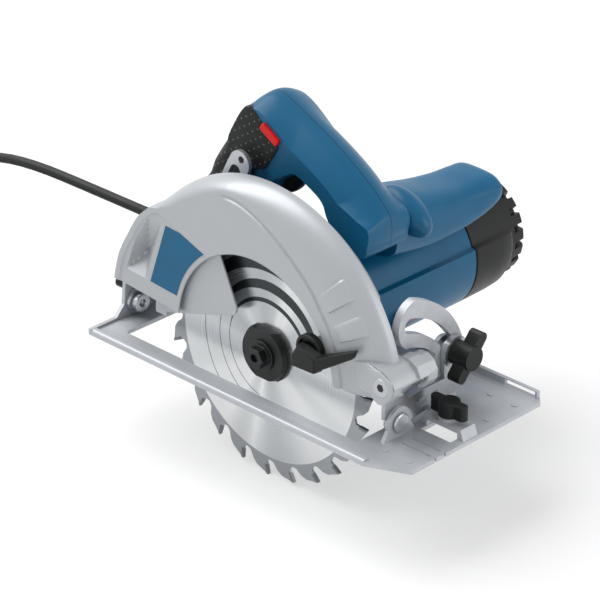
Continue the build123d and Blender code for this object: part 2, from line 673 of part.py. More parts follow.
LOCK_BUTTON = (MOTOR_X + MOTOR_R - 1.5, MOTOR_UP - 12)
LOCK_NEAR = 74.0
LOCK_FAR = 95.0
CAP_SCREWS = [polar(MOTOR_R - 8, angle, MOTOR) for angle in (45, 225)]


def spindle_lock_button():
    """Push button whose pin reaches towards the armature's shaft."""
    x, up = LOCK_BUTTON
    cap = block(x - 3, x + 5, LOCK_NEAR, LOCK_FAR, up - 5, up + 5)
    middle = off((LOCK_NEAR + LOCK_FAR) / 2)
    pin = Pos(x - 10.5, middle, SPINDLE_Z + up) * Rot(0, 90, 0) * Cylinder(3, 15)
    return cap + pin


def end_cap():
    """Black end cap with a slotted rim, screw bosses and the rear bearing's seat."""
    inner = MOTOR_R - MOTOR_WALL
    plane = Plane(origin=(0, off(MOTOR_FAR), SPINDLE_Z), x_dir=(1, 0, 0), z_dir=(0, 1, 0))
    profile = Pos(MOTOR_X, -MOTOR_UP) * Circle(MOTOR_R)
    whole = extrude(plane * profile, CAP_FAR - MOTOR_FAR, taper=4)
    cavity = Pos(MOTOR_X, -MOTOR_UP) * Circle(inner)
    cap = whole - extrude(plane * cavity, CAP_FAR - MOTOR_FAR - MOTOR_WALL, taper=4)
    for index in range(16):
        slot = Rot(0, 0, index * 22.5) * Pos(MOTOR_R - 3, 0) * Rectangle(12, 6)
        cap -= side(Pos(*MOTOR) * slot, CAP_FAR - 9, CAP_FAR + 1)
    cap += rod(MOTOR_R - 9.5, CAP_FAR - MOTOR_WALL, CAP_FAR, MOTOR)
    cap += tube(14, 11, CAP_FAR - 18, CAP_FAR - MOTOR_WALL, MOTOR)
    for spot in CAP_SCREWS:
        cap += rod(5.5, MOTOR_FAR, CAP_FAR - 10, spot) & whole
        cap -= rod(2 + SEAT, 0, CAP_FAR + 1, spot)
    return cap


def stator():
    """Laminated field core with two poles."""
    inner = CORE_R + AIR_GAP
    outer = MOTOR_R - MOTOR_WALL - SEAT
    ring = disc(outer) - disc(outer - 5)
    poles = (disc(outer - 4) - disc(inner)) & Rectangle(34, 200)
    return side(Pos(*MOTOR) * (ring + poles), CORE_NEAR, CORE_FAR - GAP)


def field_coils():
    """Two copper coils round the field poles, as their outer shapes."""
    inner = CORE_R + AIR_GAP + 1
    outer = MOTOR_R - MOTOR_WALL - 5.5
    band = (disc(outer) - disc(inner)) & (Pos(21.5, 0) * Rectangle(8, 200) + Pos(-21.5, 0) * Rectangle(8, 200))
    halves = [band & Pos(0, sign * 50) * Rectangle(200, 96) for sign in (-1, 1)]
    faces = [face for half in halves for face in half.faces()]
    return Compound([side(Pos(*MOTOR) * face, CORE_NEAR - 8, CORE_FAR - GAP) for face in faces])


def armature_shaft():
    return rod(SHAFT_R, PLATE_FAR - 2, CAP_FAR - 5, MOTOR) + rod(3.5, GEAR_NEAR - 0.4, PLATE_FAR, MOTOR)


def armature_core():
    """Slotted armature stack."""
    slots = disc(CORE_R) - disc(SHAFT_R + SEAT)
    for index in range(12):
        slots -= Rot(0, 0, index * 30) * Pos(CORE_R - 3, 0) * Rectangle(8, 3)
    return side(Pos(*MOTOR) * slots, CORE_NEAR, CORE_FAR - GAP)


COMMUTATOR_R = 14.0
BRUSH_NEAR = 152.0
BRUSH_FAR = 162.0


def commutator():
    return tube(COMMUTATOR_R, SHAFT_R + SEAT, BRUSH_NEAR - 3, BRUSH_FAR + 3, MOTOR)


def cooling_fan():
    """Radial fan between gear case and armature."""
    fan = tube(33, SHAFT_R + SEAT, 50, 52, MOTOR) + tube(10, SHAFT_R + SEAT, 42, 52, MOTOR)
    blades = [Rot(0, 0, index * 30) * Pos(22, 0) * Rectangle(20, 1.6) for index in range(12)]
    return fan + [side(Pos(*MOTOR) * blade, 43, 50) for blade in blades]


def brush_holders():
    """Two guides that hold the carbon brushes against the commutator."""
    holders = []
    for sign in (-1, 1):
        near = MOTOR_X + sign * (COMMUTATOR_R + 1.5)
        far = MOTOR_X + sign * (MOTOR_R - MOTOR_WALL - 2.2)
        x0, x1 = sorted((near, far))
        guide = block(x0, x1, BRUSH_NEAR - 2, BRUSH_FAR + 2, MOTOR_UP - 6, MOTOR_UP + 6)
        holders.append(guide - block(x0 - 1, x1 + 1, BRUSH_NEAR, BRUSH_FAR, MOTOR_UP - 4, MOTOR_UP + 4))
    return Compound(holders)


def carbon_brushes():
    brushes = []
    for sign in (-1, 1):
        near = MOTOR_X + sign * (COMMUTATOR_R - 1)
        far = MOTOR_X + sign * (COMMUTATOR_R + 16)
        x0, x1 = sorted((near, far))
        brush = block(x0, x1, BRUSH_NEAR + SEAT, BRUSH_FAR - SEAT, MOTOR_UP - 4 + SEAT, MOTOR_UP + 4 - SEAT)
        brushes.append(brush - rod(COMMUTATOR_R + RUN, 0, CAP_FAR, MOTOR))
    return Compound(brushes)


def armature_bearings():
    front = tube(13 - SEAT, SHAFT_R + RUN, PLATE_FAR, PLATE_FAR + 6, MOTOR)
    return Compound([front, tube(11 - SEAT, SHAFT_R + RUN, CAP_FAR - 13, CAP_FAR - 5, MOTOR)])


# Handles

HANDLE_OUTLINE = ((-56, 161), (-40, 164), (-13, 155), (19, 139), (45, 124), (62, 108), (69, 92), (69, 76),
                  (56, 62), (-30, 40), (-60, 31), (-105, 27), (-115, 20.5), (-136, 20.5), (-141, 42), (-128, 59),
                  (-97, 84), (-85, 102), (-74, 121), (-68, 141))
FINGER_GAP = ((-16, 112), (-3, 118), (18.5, 106.5), (22, 97), (29, 84), (10, 75), (-28, 70), (-60, 58),
              (-67, 66), (-54, 88), (-36, 106))
GRIP_AREA = ((-112, 66), (-70, 56), (-28, 104), (-8, 116), (-30, 135), (-50, 150), (-90, 156))
TRIGGER_PIN = (-12, 120)
TRIGGER_AREA = ((-44, 112), (-16, 124), (-8, 122), (-10, 112), (-22, 103), (-38, 97))
BUTTON_SPOT = (-25, 143)
BUTTON_SLOPE = -31
SWITCH_SPOT = (-56, 124)


def handle_face():
    """Side view of the closed handle, open where the fingers go and cut to the motor tube."""
    face = area(*HANDLE_OUTLINE, rounding=4) - area(*FINGER_GAP, rounding=4)
    return face - disc(MOTOR_R + RUN, MOTOR)


def button_outline(spread):
    return Pos(*BUTTON_SPOT) * Rot(0, 0, BUTTON_SLOPE) * RectangleRounded(18 + 2 * spread, 6 + 2 * spread, 2)


def handle_body():
    """Both halves of the hollow handle in one, before they are split."""
    face = handle_face()
    near = HANDLE_MID - HANDLE_HALF
    far = HANDLE_MID + HANDLE_HALF
    body = side(face, near, far)
    body -= side(offset(face, -HANDLE_WALL), near + HANDLE_WALL, far - HANDLE_WALL)
    room = offset(area(*TRIGGER_AREA), TRIGGER_ROOM)
    body -= side(room, HANDLE_MID - TRIGGER_HALF - GAP, HANDLE_MID + TRIGGER_HALF + GAP)
    body -= side(button_outline(GAP), near - 1, near + HANDLE_WALL + 1)
    body -= rod(2 + SEAT, near, far, TRIGGER_PIN)
    body -= grip_pads()
    exit_height = SPINDLE_Z + CORD_EXIT_UP
    body -= Pos(-140, off(HANDLE_MID), exit_height) * Rot(0, 90, 0) * Cylinder(8 + SEAT, 30)
    for spot in HANDLE_SCREWS:
        body -= rod(2 + SEAT, near, far + 1, spot)
    return body


HANDLE_SCREWS = [(-122, 40), (-60, 148), (58, 92), (0, 140)]


def handle_shells():
    body = handle_body()
    near = HANDLE_MID - HANDLE_HALF - 1
    far = HANDLE_MID + HANDLE_HALF + 1
    left = body & block(-300, 300, near, HANDLE_MID, -50, 300)
    return left, body & block(-300, 300, HANDLE_MID, far, -50, 300)


def case_screws():
    """Screws of the handle's shells and of the end cap."""
    near = HANDLE_MID - HANDLE_HALF
    far = HANDLE_MID + HANDLE_HALF
    screws = [rod(2, near, far, spot) + rod(3.5, far, far + 1.5, spot) for spot in HANDLE_SCREWS]
    screws += [rod(2, CORE_FAR + 4, CAP_FAR, spot) + rod(3.5, CAP_FAR, CAP_FAR + 2, spot)
               for spot in CAP_SCREWS]
    return Compound(screws)


def grip_pads():
    """Rubber pads let into both sides of the handle's rear leg."""
    face = handle_face() & area(*GRIP_AREA)
    face -= button_outline(1.5)
    near = HANDLE_MID - HANDLE_HALF
    far = HANDLE_MID + HANDLE_HALF
    return Compound([side(face, near, near + GRIP_THICK), side(face, far - GRIP_THICK, far)])


def grip_cover():
    holes = [rod(2 + SEAT, 0, 99, spot) for spot in (TRIGGER_PIN, *HANDLE_SCREWS)]
    pads = [pad - holes for pad in grip_pads().solids()]
    return Compound(pads)


def front_handle():
    """Forward hand rest over the motor, on a stem that stands on the motor tube."""
    near = HANDLE_MID + HANDLE_HALF
    paddle = area((18.5, 84), (22, 92.5), (46, 92.5), (57.5, 85), (58, 76), (50, 69), (38, 68.5), (21, 70),
                  rounding=3)
    stem = area((22, 50), (22, 80), (56, 80), (58, 62), (52, 50))
    body = side(paddle, near, PADDLE_FAR) + side(stem, near, near + 34)
    return body - rod(MOTOR_R + RUN, 0, CAP_FAR, MOTOR)


def trigger():
    body = side(area(*TRIGGER_AREA, rounding=2), HANDLE_MID - TRIGGER_HALF, HANDLE_MID + TRIGGER_HALF)
    return body - rod(2 + RUN, 0, 99, TRIGGER_PIN)


def trigger_pin():
    return rod(2, HANDLE_MID - HANDLE_HALF + GRIP_THICK, HANDLE_MID + HANDLE_HALF - GRIP_THICK, TRIGGER_PIN)


def lock_off_button():
    near = HANDLE_MID - HANDLE_HALF
    return side(button_outline(0), near - 2.2, near + 6)


def switch_module():
    """Closed switch block behind the trigger, held on ribs between the shells."""
    x, up = SWITCH_SPOT
    half = HANDLE_HALF - HANDLE_WALL - SEAT
    core = Pos(x, up) * Rot(0, 0, 60) * RectangleRounded(24, 16, 2)
    return side(core, HANDLE_MID - half, HANDLE_MID + half)


def cord_gland():
    """Tapered strain relief in the heel of the handle."""
    axis = Plane(origin=(-132, off(HANDLE_MID), SPINDLE_Z + CORD_EXIT_UP), z_dir=(-1, 0, 0))
    collar = extrude(axis * Circle(8), 12)
    taper = loft([axis.offset(12) * Circle(8), axis.offset(-132 - CORD_EXIT_X) * Circle(5.5)])
    return collar + taper


# Depth clamp

def depth_clamp_bolt():
    head = GUARD_BACK - 4
    bar = rod(STUD_R, head, ARC_NEAR + 16, CLAMP) + rod(6, head - 2.6, head, CLAMP)
    return bar + rod(9, ARC_NEAR + SHEET + GAP, ARC_NEAR + SHEET + 2.5, CLAMP)


def depth_clamp_lever():
    """Lever that clamps the depth arc, on the motor side."""
    start = ARC_NEAR + SHEET + 2.5 + GAP
    tip = (CLAMP[0] - 36, CLAMP[1] + 1)
    arm = side(link((9, CLAMP), (5, tip)), start + 3, start + 11) + rod(9, start, start + 11, CLAMP)
    return arm - rod(STUD_R + RUN, start - 1, ARC_NEAR + 16 + GAP, CLAMP)


# Cord: the lead that the photograph shows, and the rest wound up on the floor

COIL_FLOOR = FLOOR_Z + TIE_THICK + GAP + CORD_R
LEAD_Y = BLADE_Y + HANDLE_MID
LEAD_Z = SPINDLE_Z + CORD_EXIT_UP
LEAD_POINTS = [(CORD_EXIT_X, LEAD_Y, LEAD_Z), (-225, LEAD_Y, LEAD_Z), (-295, LEAD_Y + 0.5, LEAD_Z - 1),
               (-348, 13, 46), (-394, 18, 20), (-427, 21, -12), (-448, 14, -44), (-455, -10, COIL_FLOOR),
               (-455, -48, COIL_FLOOR)]


def lead_radii(points):
    """Bend radius at each inner point, as large as its two runs allow."""
    radii = []
    for before, here, after in zip(points, points[1:], points[2:]):
        first = Vector(here) - Vector(before)
        second = Vector(after) - Vector(here)
        half_turn = math.radians(first.get_angle(second)) / 2
        radii.append(0.45 * min(first.length, second.length) / math.tan(half_turn))
    return radii


def sweep_round(path, radius):
    """Round bar along a path."""
    return sweep(Plane(origin=path @ 0, z_dir=path % 0) * Circle(radius), path=path)


def cord_lead():
    radii = lead_radii(LEAD_POINTS)
    path = FilletPolyline(*LEAD_POINTS, radius=radii)
    bar = sweep_round(path, CORD_R)
    print("lead radii", [round(radius, 1) for radius in radii], "length", round(path.length, 1))
    print("lead volume over section times length", round(bar.volume / (path.length * math.pi * CORD_R ** 2), 4))
    return bar


COIL_LAYER_TURNS = COIL_TURNS / 2
COIL_OUTER = COIL_MEAN_DIA / 2 + COIL_LAYER_TURNS * COIL_STEP / 2
COIL_CENTRE = (LEAD_POINTS[-1][0] + COIL_OUTER, LEAD_POINTS[-1][1] - CORD_DIA)


def coil_point(turn):
    """Middle of the cord after this many turns: in along the floor, up a layer in half a turn, and out again."""
    radius = COIL_OUTER - COIL_STEP * (COIL_LAYER_TURNS - abs(turn - COIL_LAYER_TURNS))
    climb = min(1, max(0, (turn - COIL_LAYER_TURNS) * 2 + 0.5))
    lift = COIL_LAYER * climb * climb * (3 - 2 * climb)
    x, y = polar(radius, 180 + 360 * turn, COIL_CENTRE)
    return Vector(x, y, COIL_FLOOR + lift)


def biarc(start, heading, end, end_heading):
    """Two arcs that leave one point and reach another along given headings."""
    chord = end - start
    both = heading + end_heading
    spread = 2 * (1 - heading.dot(end_heading))
    reach = chord.dot(both)
    length = (math.sqrt(reach * reach + 2 * spread * chord.dot(chord) / 2) - reach) / spread
    middle = (start + heading * length + end - end_heading * length) * 0.5
    slope = (end - end_heading * length - start - heading * length).normalized()
    return [Edge.make_tangent_arc(start, heading, middle), Edge.make_tangent_arc(middle, slope, end)]


def coil_path():
    """The coil's middle line, an arc pair for each quarter turn, with straight ends."""
    nudge = 1e-4
    count = round(COIL_TURNS * 4)
    stops = [COIL_TURNS * index / count for index in range(count + 1)]
    places = [coil_point(turn) for turn in stops]
    headings = [(coil_point(turn + nudge) - coil_point(turn - nudge)).normalized() for turn in stops]
    headings[0] = Vector(0, -1, 0)
    headings[-1] = Vector(1, 0, 0)
    edges = [Edge.make_line(places[0] - headings[0] * CORD_DIA, places[0])]
    for index in range(count):
        edges += biarc(places[index], headings[index], places[index + 1], headings[index + 1])
    edges.append(Edge.make_line(places[-1], places[-1] + headings[-1] * TAIL_LENGTH))
    return Wire(edges)


def least_gap(path, samples):
    """Least distance between the surfaces of turns that lie apart along the path."""
    points = [path @ (index / samples) for index in range(samples + 1)]
    skip = round(samples * 100 / path.length)
    apart = [(first - second).length for index, first in enumerate(points) for second in points[index + skip:]]
    return min(apart) - CORD_DIA


def cord_coil():
    path = coil_path()
    print("coil length", round(path.length, 1), "least gap", round(least_gap(path, 700), 2))
    return sweep_round(path, CORD_R)


def cord_tie():
    """Strap round the coil's bundle, on the side towards the saw."""
    inner = COIL_OUTER - COIL_LAYER_TURNS * COIL_STEP - CORD_R - GAP - COIL_STEP / 2
    outer = COIL_OUTER + CORD_R + GAP
    low = FLOOR_Z + TIE_THICK
    high = COIL_FLOOR + COIL_LAYER + CORD_R + GAP
    wide = Pos((inner + outer) / 2, (low + high) / 2)
    hole = wide * Rectangle(outer - inner, high - low)
    band = wide * Rectangle(outer - inner + 2 * TIE_THICK, high - low + 2 * TIE_THICK) - hole
    plane = Plane(origin=(COIL_CENTRE[0], COIL_CENTRE[1] + TIE_WIDTH / 2, 0), x_dir=(1, 0, 0), z_dir=(0, -1, 0))
    return extrude(plane * band, TIE_WIDTH)


PLUG_R = COIL_FLOOR + COIL_LAYER - FLOOR_Z
PLUG_START = (COIL_CENTRE[0] + TAIL_LENGTH, COIL_CENTRE[1] - COIL_OUTER, COIL_FLOOR + COIL_LAYER)


def plug_body():
    """Moulded plug at the end of the cord, lying on the floor."""
    axis = Plane(origin=PLUG_START, x_dir=(0, 1, 0), z_dir=(1, 0, 0))
    sleeve = loft([axis * Circle(5), axis.offset(18) * Circle(8)])
    body = extrude(axis.offset(18) * SlotOverall(2 * PLUG_R + 8, 2 * PLUG_R), PLUG_LENGTH - 18)
    for sign in (-1, 1):
        body -= extrude(axis.offset(PLUG_LENGTH - 8) * Pos(sign * 9.5, 0) * Circle(2.4 + SEAT), 9)
    return sleeve + body


def plug_pins():
    axis = Plane(origin=PLUG_START, x_dir=(0, 1, 0), z_dir=(1, 0, 0))
    root = axis.offset(PLUG_LENGTH - 8)
    return Compound([extrude(root * Pos(sign * 9.5, 0) * Circle(2.4), 27) for sign in (-1, 1)])


PIECES = (base_plate, front_bevel_quadrant, front_pivot_rivet, rear_pivot_bolt, fence_wing_bolt,
          front_tilt_bracket, depth_arc, depth_pivot_bolt, front_bevel_bolt, front_bevel_washer,
          front_bevel_knob, rear_bevel_bolt, rear_bevel_lever, upper_guard, label_plate, guard_screws,
          lower_guard, guard_lever, guard_spring, saw_blade, carbide_tips, drive_gear, drive_pinion,
          spindle, inner_flange, outer_flange, blade_bolt, spindle_bearing, spindle_bush, gear_housing,
          bearing_plate, motor_housing, spindle_lock_button, end_cap, stator, field_coils, armature_shaft,
          armature_core, commutator, cooling_fan, brush_holders, carbon_brushes, armature_bearings,
          case_screws, grip_cover, front_handle, trigger, trigger_pin, lock_off_button, switch_module,
          cord_gland, depth_clamp_bolt, depth_clamp_lever, cord_lead, cord_coil, cord_tie)


def main():
    os.makedirs("parts", exist_ok=True)
    for piece in PIECES:
        export_step(piece(), f"parts/{piece.__name__}.step")
    left, right = handle_shells()
    export_step(left, "parts/handle_left_shell.step")
    export_step(right, "parts/handle_right_shell.step")
    export_step(plug_body(), "parts/plug_body.step")
    export_step(plug_pins(), "parts/plug_pins.step")


main()
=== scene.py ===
import json
import math

import bmesh
import bpy
import numpy as np
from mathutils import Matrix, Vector

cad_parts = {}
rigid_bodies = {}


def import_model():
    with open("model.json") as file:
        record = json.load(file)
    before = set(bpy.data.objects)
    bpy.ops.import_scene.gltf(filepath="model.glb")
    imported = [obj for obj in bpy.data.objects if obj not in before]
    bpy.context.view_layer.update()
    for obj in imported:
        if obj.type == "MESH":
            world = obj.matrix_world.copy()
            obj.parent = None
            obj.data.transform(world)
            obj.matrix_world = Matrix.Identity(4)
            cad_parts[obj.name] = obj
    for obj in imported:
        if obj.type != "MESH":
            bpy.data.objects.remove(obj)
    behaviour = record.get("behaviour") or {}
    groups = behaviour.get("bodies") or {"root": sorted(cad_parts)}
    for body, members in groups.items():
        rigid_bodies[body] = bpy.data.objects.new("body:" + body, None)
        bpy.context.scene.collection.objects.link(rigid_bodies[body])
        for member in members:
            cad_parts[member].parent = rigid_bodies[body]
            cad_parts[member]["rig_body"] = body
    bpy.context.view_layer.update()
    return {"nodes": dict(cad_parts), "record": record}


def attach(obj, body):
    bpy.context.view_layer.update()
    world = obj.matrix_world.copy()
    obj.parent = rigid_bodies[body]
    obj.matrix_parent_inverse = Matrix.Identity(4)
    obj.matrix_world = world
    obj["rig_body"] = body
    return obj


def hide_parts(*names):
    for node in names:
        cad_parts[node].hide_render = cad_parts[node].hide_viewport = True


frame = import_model()

# Sizes repeated from the part's source, in millimetres
BLADE_Y = -37.0
SPINDLE_Z = 25.0
FLOOR_Z = -70.0
HINGE = (116.0, 22.0)
CORD_DIA = 7.5
COIL_FLOOR = -64.75
LEAD_POINTS = [
    (-158, 10, 57.3), (-225, 10, 57.3), (-295, 10.5, 56.3), (-348, 13, 46), (-394, 18, 20),
    (-427, 21, -12), (-448, 14, -44), (-455, -10, COIL_FLOOR), (-455, -48, COIL_FLOOR),
]
COIL_CENTRE = (-395.1375, -55.5)
COIL_OUTER = 59.8625
COIL_TURNS = 7.25
COIL_STEP = 8.2
COIL_LAYER = 8.1
PLUG_START = (-343.1375, -115.3625, -56.65)


# Shader helpers

def colour(code):
    """Linear RGBA of an sRGB hex code."""
    parts = [int(code[i:i + 2], 16) / 255 for i in (1, 3, 5)]
    return tuple(c / 12.92 if c <= 0.04045 else ((c + 0.055) / 1.055) ** 2.4 for c in parts) + (1.0,)


def add(tree, kind, inputs, stops=(), **settings):
    """Adds a node, sets its options, its inputs (constants or other nodes' outputs) and any hex-coded colour
    stops, and returns its outputs."""
    made = tree.nodes.new(kind)
    for option, value in settings.items():
        setattr(made, option, value)
    for key, value in inputs.items():
        if isinstance(value, bpy.types.NodeSocket):
            tree.links.new(value, made.inputs[key])
        else:
            made.inputs[key].default_value = value
    if stops:
        elements = made.color_ramp.elements
        while len(elements) < len(stops):
            elements.new(0.5)
        for element, (at, code) in zip(elements, stops):
            element.position = at
            element.color = colour(code)
    return made.outputs


def material(name, inputs):
    """New material; returns it, its tree and its shader with these constants set on the shader itself."""
    made = bpy.data.materials.new(name)
    made.use_nodes = True
    shader = made.node_tree.nodes["Principled BSDF"]
    for key, value in inputs.items():
        shader.inputs[key].default_value = value
    return made, made.node_tree, shader


def place(tree, centre=(0, 0, 0), scale=(1, 1, 1), turn=(0, 0, 0)):
    """Object coordinates in millimetres about a centre given in row-frame millimetres."""
    shift = add(tree, "ShaderNodeMapping", {
        "Vector": add(tree, "ShaderNodeTexCoord", {})["Object"], "Location": [-c / 1000 for c in centre]})
    return add(tree, "ShaderNodeMapping", {
        "Vector": shift[0], "Scale": [1000 * s for s in scale], "Rotation": turn})[0]


def grain(tree, shader, size, depth):
    """Bump from noise of this grain size and depth in millimetres."""
    noise = add(tree, "ShaderNodeTexNoise", {"Vector": place(tree), "Scale": 1 / size, "Detail": 2.0})
    bump = add(tree, "ShaderNodeBump", {
        "Height": noise["Fac"], "Distance": depth / 1000, "Strength": 1.0})
    tree.links.new(bump[0], shader.inputs["Normal"])


# Materials, their sizes in millimetres

BLUE = "#085D84"
SHEEN = 0.28
FLAKE = 1.5
FLAKE_DEPTH = 0.0015
SHEET_CLOUD = 8.3333
CLOUD = 25.0
RING_PITCH = 0.8
TOOTH_RING = (80.6, 81.2)
# Start radius and greatest width of each printed swoosh, its least width, and the angle where it is widest
SWOOSHES = ((36.5, 3.0), (46.0, 7.0), (60.0, 12.0))
SWOOSH_LINE = 0.55
SWOOSH_PEAK = 1.3
PRINT_SLOPE = 0.36
PRINT_BACK = -8.0
PRINT_LOW = (-42.0, -36.0)
DOT_PITCH = 5.5
DOT_EDGE = (0.15, 0.09)
DOT_HEIGHT = 0.4
DOT_CENTRE = (-45, 10, 150)
DOT_LEAN = 32
SEAM_Y = 50.0
SEAM_WIDTH = 0.6


def silver_paint():
    """Satin metal paint over a casting: an even pale grey that takes broad soft highlights on the crown."""
    made, tree, shader = material("silver_paint_on_die_cast_alloy", {
        "Base Color": colour("#B3B7BB"), "Metallic": 0.3, "Roughness": 0.42,
        "Coat Weight": 0.12, "Coat Roughness": 0.25})
    # The flake is drawn coarser than its real 0.05 mm, which no pixel would show
    grain(tree, shader, FLAKE, FLAKE_DEPTH)
    return made


def zinc_sheet():
    """Pressed sheet with a dull zinc coat: a pale even grey, faintly clouded along the rolling direction."""
    made, tree, shader = material("zinc_coated_pressed_sheet_steel", {"Metallic": 0.25})
    cloud = add(tree, "ShaderNodeTexNoise", {
        "Vector": place(tree, scale=(0.15, 1, 1)), "Scale": 1 / SHEET_CLOUD, "Detail": 3.0})["Fac"]
    tone = add(tree, "ShaderNodeValToRGB", {"Fac": cloud}, stops=[(0.3, "#B6B9BE"), (0.7, "#C1C4C9")])
    gloss = add(tree, "ShaderNodeMapRange", {"Value": cloud, "To Min": 0.36, "To Max": 0.48})
    tree.links.new(tone[0], shader.inputs["Base Color"])
    tree.links.new(gloss[0], shader.inputs["Roughness"])
    return made


def blade_steel():
    """Ground disc: fine turning rings in its roughness and a radial sheen, bright radial fans painted into
    its colour as painted highlights, three printed dark swooshes that thin out round the disc, and a duller
    ring under the teeth."""
    made, tree, shader = material("ground_printed_blade_steel_painted_fans", {"Metallic": 0.9, "Anisotropic": 0.6})
    flat = place(tree, centre=(0, BLADE_Y, SPINDLE_Z), scale=(1, 0, 1))
    split = add(tree, "ShaderNodeSeparateXYZ", {"Vector": flat})
    x, z = split["X"], split["Z"]
    radius = add(tree, "ShaderNodeVectorMath", {0: flat}, operation="LENGTH")["Value"]
    spoke = add(tree, "ShaderNodeVectorMath", {0: flat}, operation="NORMALIZE")[0]
    tangent = add(tree, "ShaderNodeVectorMath", {0: flat, 1: (0, 1, 0)}, operation="CROSS_PRODUCT")[0]
    tree.links.new(tangent, shader.inputs["Tangent"])
    # Rings are drawn coarser than the real grinding marks
    rings = add(tree, "ShaderNodeTexNoise", {"W": radius, "Scale": 1 / RING_PITCH, "Detail": 2.0},
                noise_dimensions="1D")
    rough = add(tree, "ShaderNodeMapRange", {"Value": rings["Fac"], "To Min": 0.2, "To Max": 0.3})
    tree.links.new(rough[0], shader.inputs["Roughness"])
    # Painted highlight: broad radial fans lighten the base colour, standing in for the sheen of the ground
    # steel
    painted_fan_highlight = add(tree, "ShaderNodeTexNoise", {"Vector": spoke, "Scale": 1.3, "Detail": 1.0})
    steel = add(tree, "ShaderNodeValToRGB", {"Fac": painted_fan_highlight["Fac"]}, stops=[
        (0.3, "#A9ADB0"), (0.48, "#BDC0C3"), (0.6, "#DCDEDF"), (0.72, "#B3B6B9")])
    at_rim = add(tree, "ShaderNodeMapRange", {
        "Value": radius, "From Min": TOOTH_RING[0], "From Max": TOOTH_RING[1]},
        interpolation_type="SMOOTHSTEP")
    rim = add(tree, "ShaderNodeMix", {0: at_rim[0], 6: steel[0], 7: colour("#94989C")}, data_type="RGBA")
    # Each swoosh starts at its own radius and is widest about 75 degrees above the front
    peak = (math.cos(SWOOSH_PEAK), 0, math.sin(SWOOSH_PEAK))
    facing = add(tree, "ShaderNodeVectorMath", {0: spoke, 1: peak}, operation="DOT_PRODUCT")["Value"]
    fade = add(tree, "ShaderNodeMath", {0: facing, 1: 0.0}, operation="MAXIMUM")[0]
    # The print ends above the disc's lower front and its bottom, where bare ground steel shows
    ahead = add(tree, "ShaderNodeMath", {0: x, 1: 0.0}, operation="MAXIMUM")[0]
    slope = add(tree, "ShaderNodeMath", {0: ahead, 1: PRINT_SLOPE}, operation="MULTIPLY")[0]
    above = add(tree, "ShaderNodeMath", {0: z, 1: slope}, operation="GREATER_THAN")[0]
    behind = add(tree, "ShaderNodeMath", {0: x, 1: PRINT_BACK}, operation="LESS_THAN")[0]
    upper = add(tree, "ShaderNodeMath", {0: above, 1: behind}, operation="MAXIMUM")[0]
    high = add(tree, "ShaderNodeMapRange", {
        "Value": z, "From Min": PRINT_LOW[0], "From Max": PRINT_LOW[1]}, interpolation_type="SMOOTHSTEP")[0]
    printed = add(tree, "ShaderNodeMath", {0: upper, 1: high}, operation="MULTIPLY")[0]
    ink = 0.0
    for start, wide in SWOOSHES:
        past = add(tree, "ShaderNodeMath", {0: radius, 1: start}, operation="SUBTRACT")[0]
        width = add(tree, "ShaderNodeMath", {0: fade, 1: wide, 2: SWOOSH_LINE}, operation="MULTIPLY_ADD")[0]
        outside = add(tree, "ShaderNodeMath", {0: past, 1: 0.0}, operation="GREATER_THAN")[0]
        within = add(tree, "ShaderNodeMath", {0: past, 1: width}, operation="LESS_THAN")[0]
        band = add(tree, "ShaderNodeMath", {0: outside, 1: within}, operation="MULTIPLY")[0]
        ink = add(tree, "ShaderNodeMath", {0: ink, 1: band}, operation="ADD")[0]
    ink = add(tree, "ShaderNodeMath", {0: ink, 1: printed}, operation="MULTIPLY")[0]
    mixed = add(tree, "ShaderNodeMix", {0: ink, 6: rim[2], 7: colour("#3A3F41")}, data_type="RGBA")
    tree.links.new(mixed[2], shader.inputs["Base Color"])
    return made


def dotted_rubber():
    """Soft over-mould: nearly black and dull, with rows of small pale worn dots, laid out across X and height
    on the cheeks and across Y and height on the grip's back."""
    made, tree, shader = material("overmoulded_dotted_rubber", {
        "Roughness": 0.62, "Specular IOR Level": SHEEN})
    cheek = place(tree, centre=DOT_CENTRE, scale=(1, 0, 1), turn=(0, math.radians(DOT_LEAN), 0))
    back = place(tree, centre=DOT_CENTRE, scale=(0, 1, 0.85))
    near, far = (add(tree, "ShaderNodeTexVoronoi", {
        "Vector": where, "Scale": 1 / DOT_PITCH, "Randomness": 0.0})["Distance"] for where in (cheek, back))
    normal = add(tree, "ShaderNodeTexCoord", {})["Normal"]
    across = add(tree, "ShaderNodeSeparateXYZ", {"Vector": normal})["Y"]
    sideways = add(tree, "ShaderNodeMath", {0: across}, operation="ABSOLUTE")[0]
    on_cheek = add(tree, "ShaderNodeMath", {0: sideways, 1: 0.72}, operation="GREATER_THAN")[0]
    distance = add(tree, "ShaderNodeMix", {0: on_cheek, 2: far, 3: near})[0]
    spot = add(tree, "ShaderNodeMapRange", {
        "Value": distance, "From Min": DOT_EDGE[0], "From Max": DOT_EDGE[1]},
        interpolation_type="SMOOTHSTEP")[0]
    mixed = add(tree, "ShaderNodeMix", {0: spot, 6: colour("#1C1E1E"), 7: colour("#6B706E")},
                data_type="RGBA")
    tree.links.new(mixed[2], shader.inputs["Base Color"])
    bump = add(tree, "ShaderNodeBump", {"Height": spot, "Distance": DOT_HEIGHT / 1000, "Strength": 1.0})
    tree.links.new(bump[0], shader.inputs["Normal"])
    return made


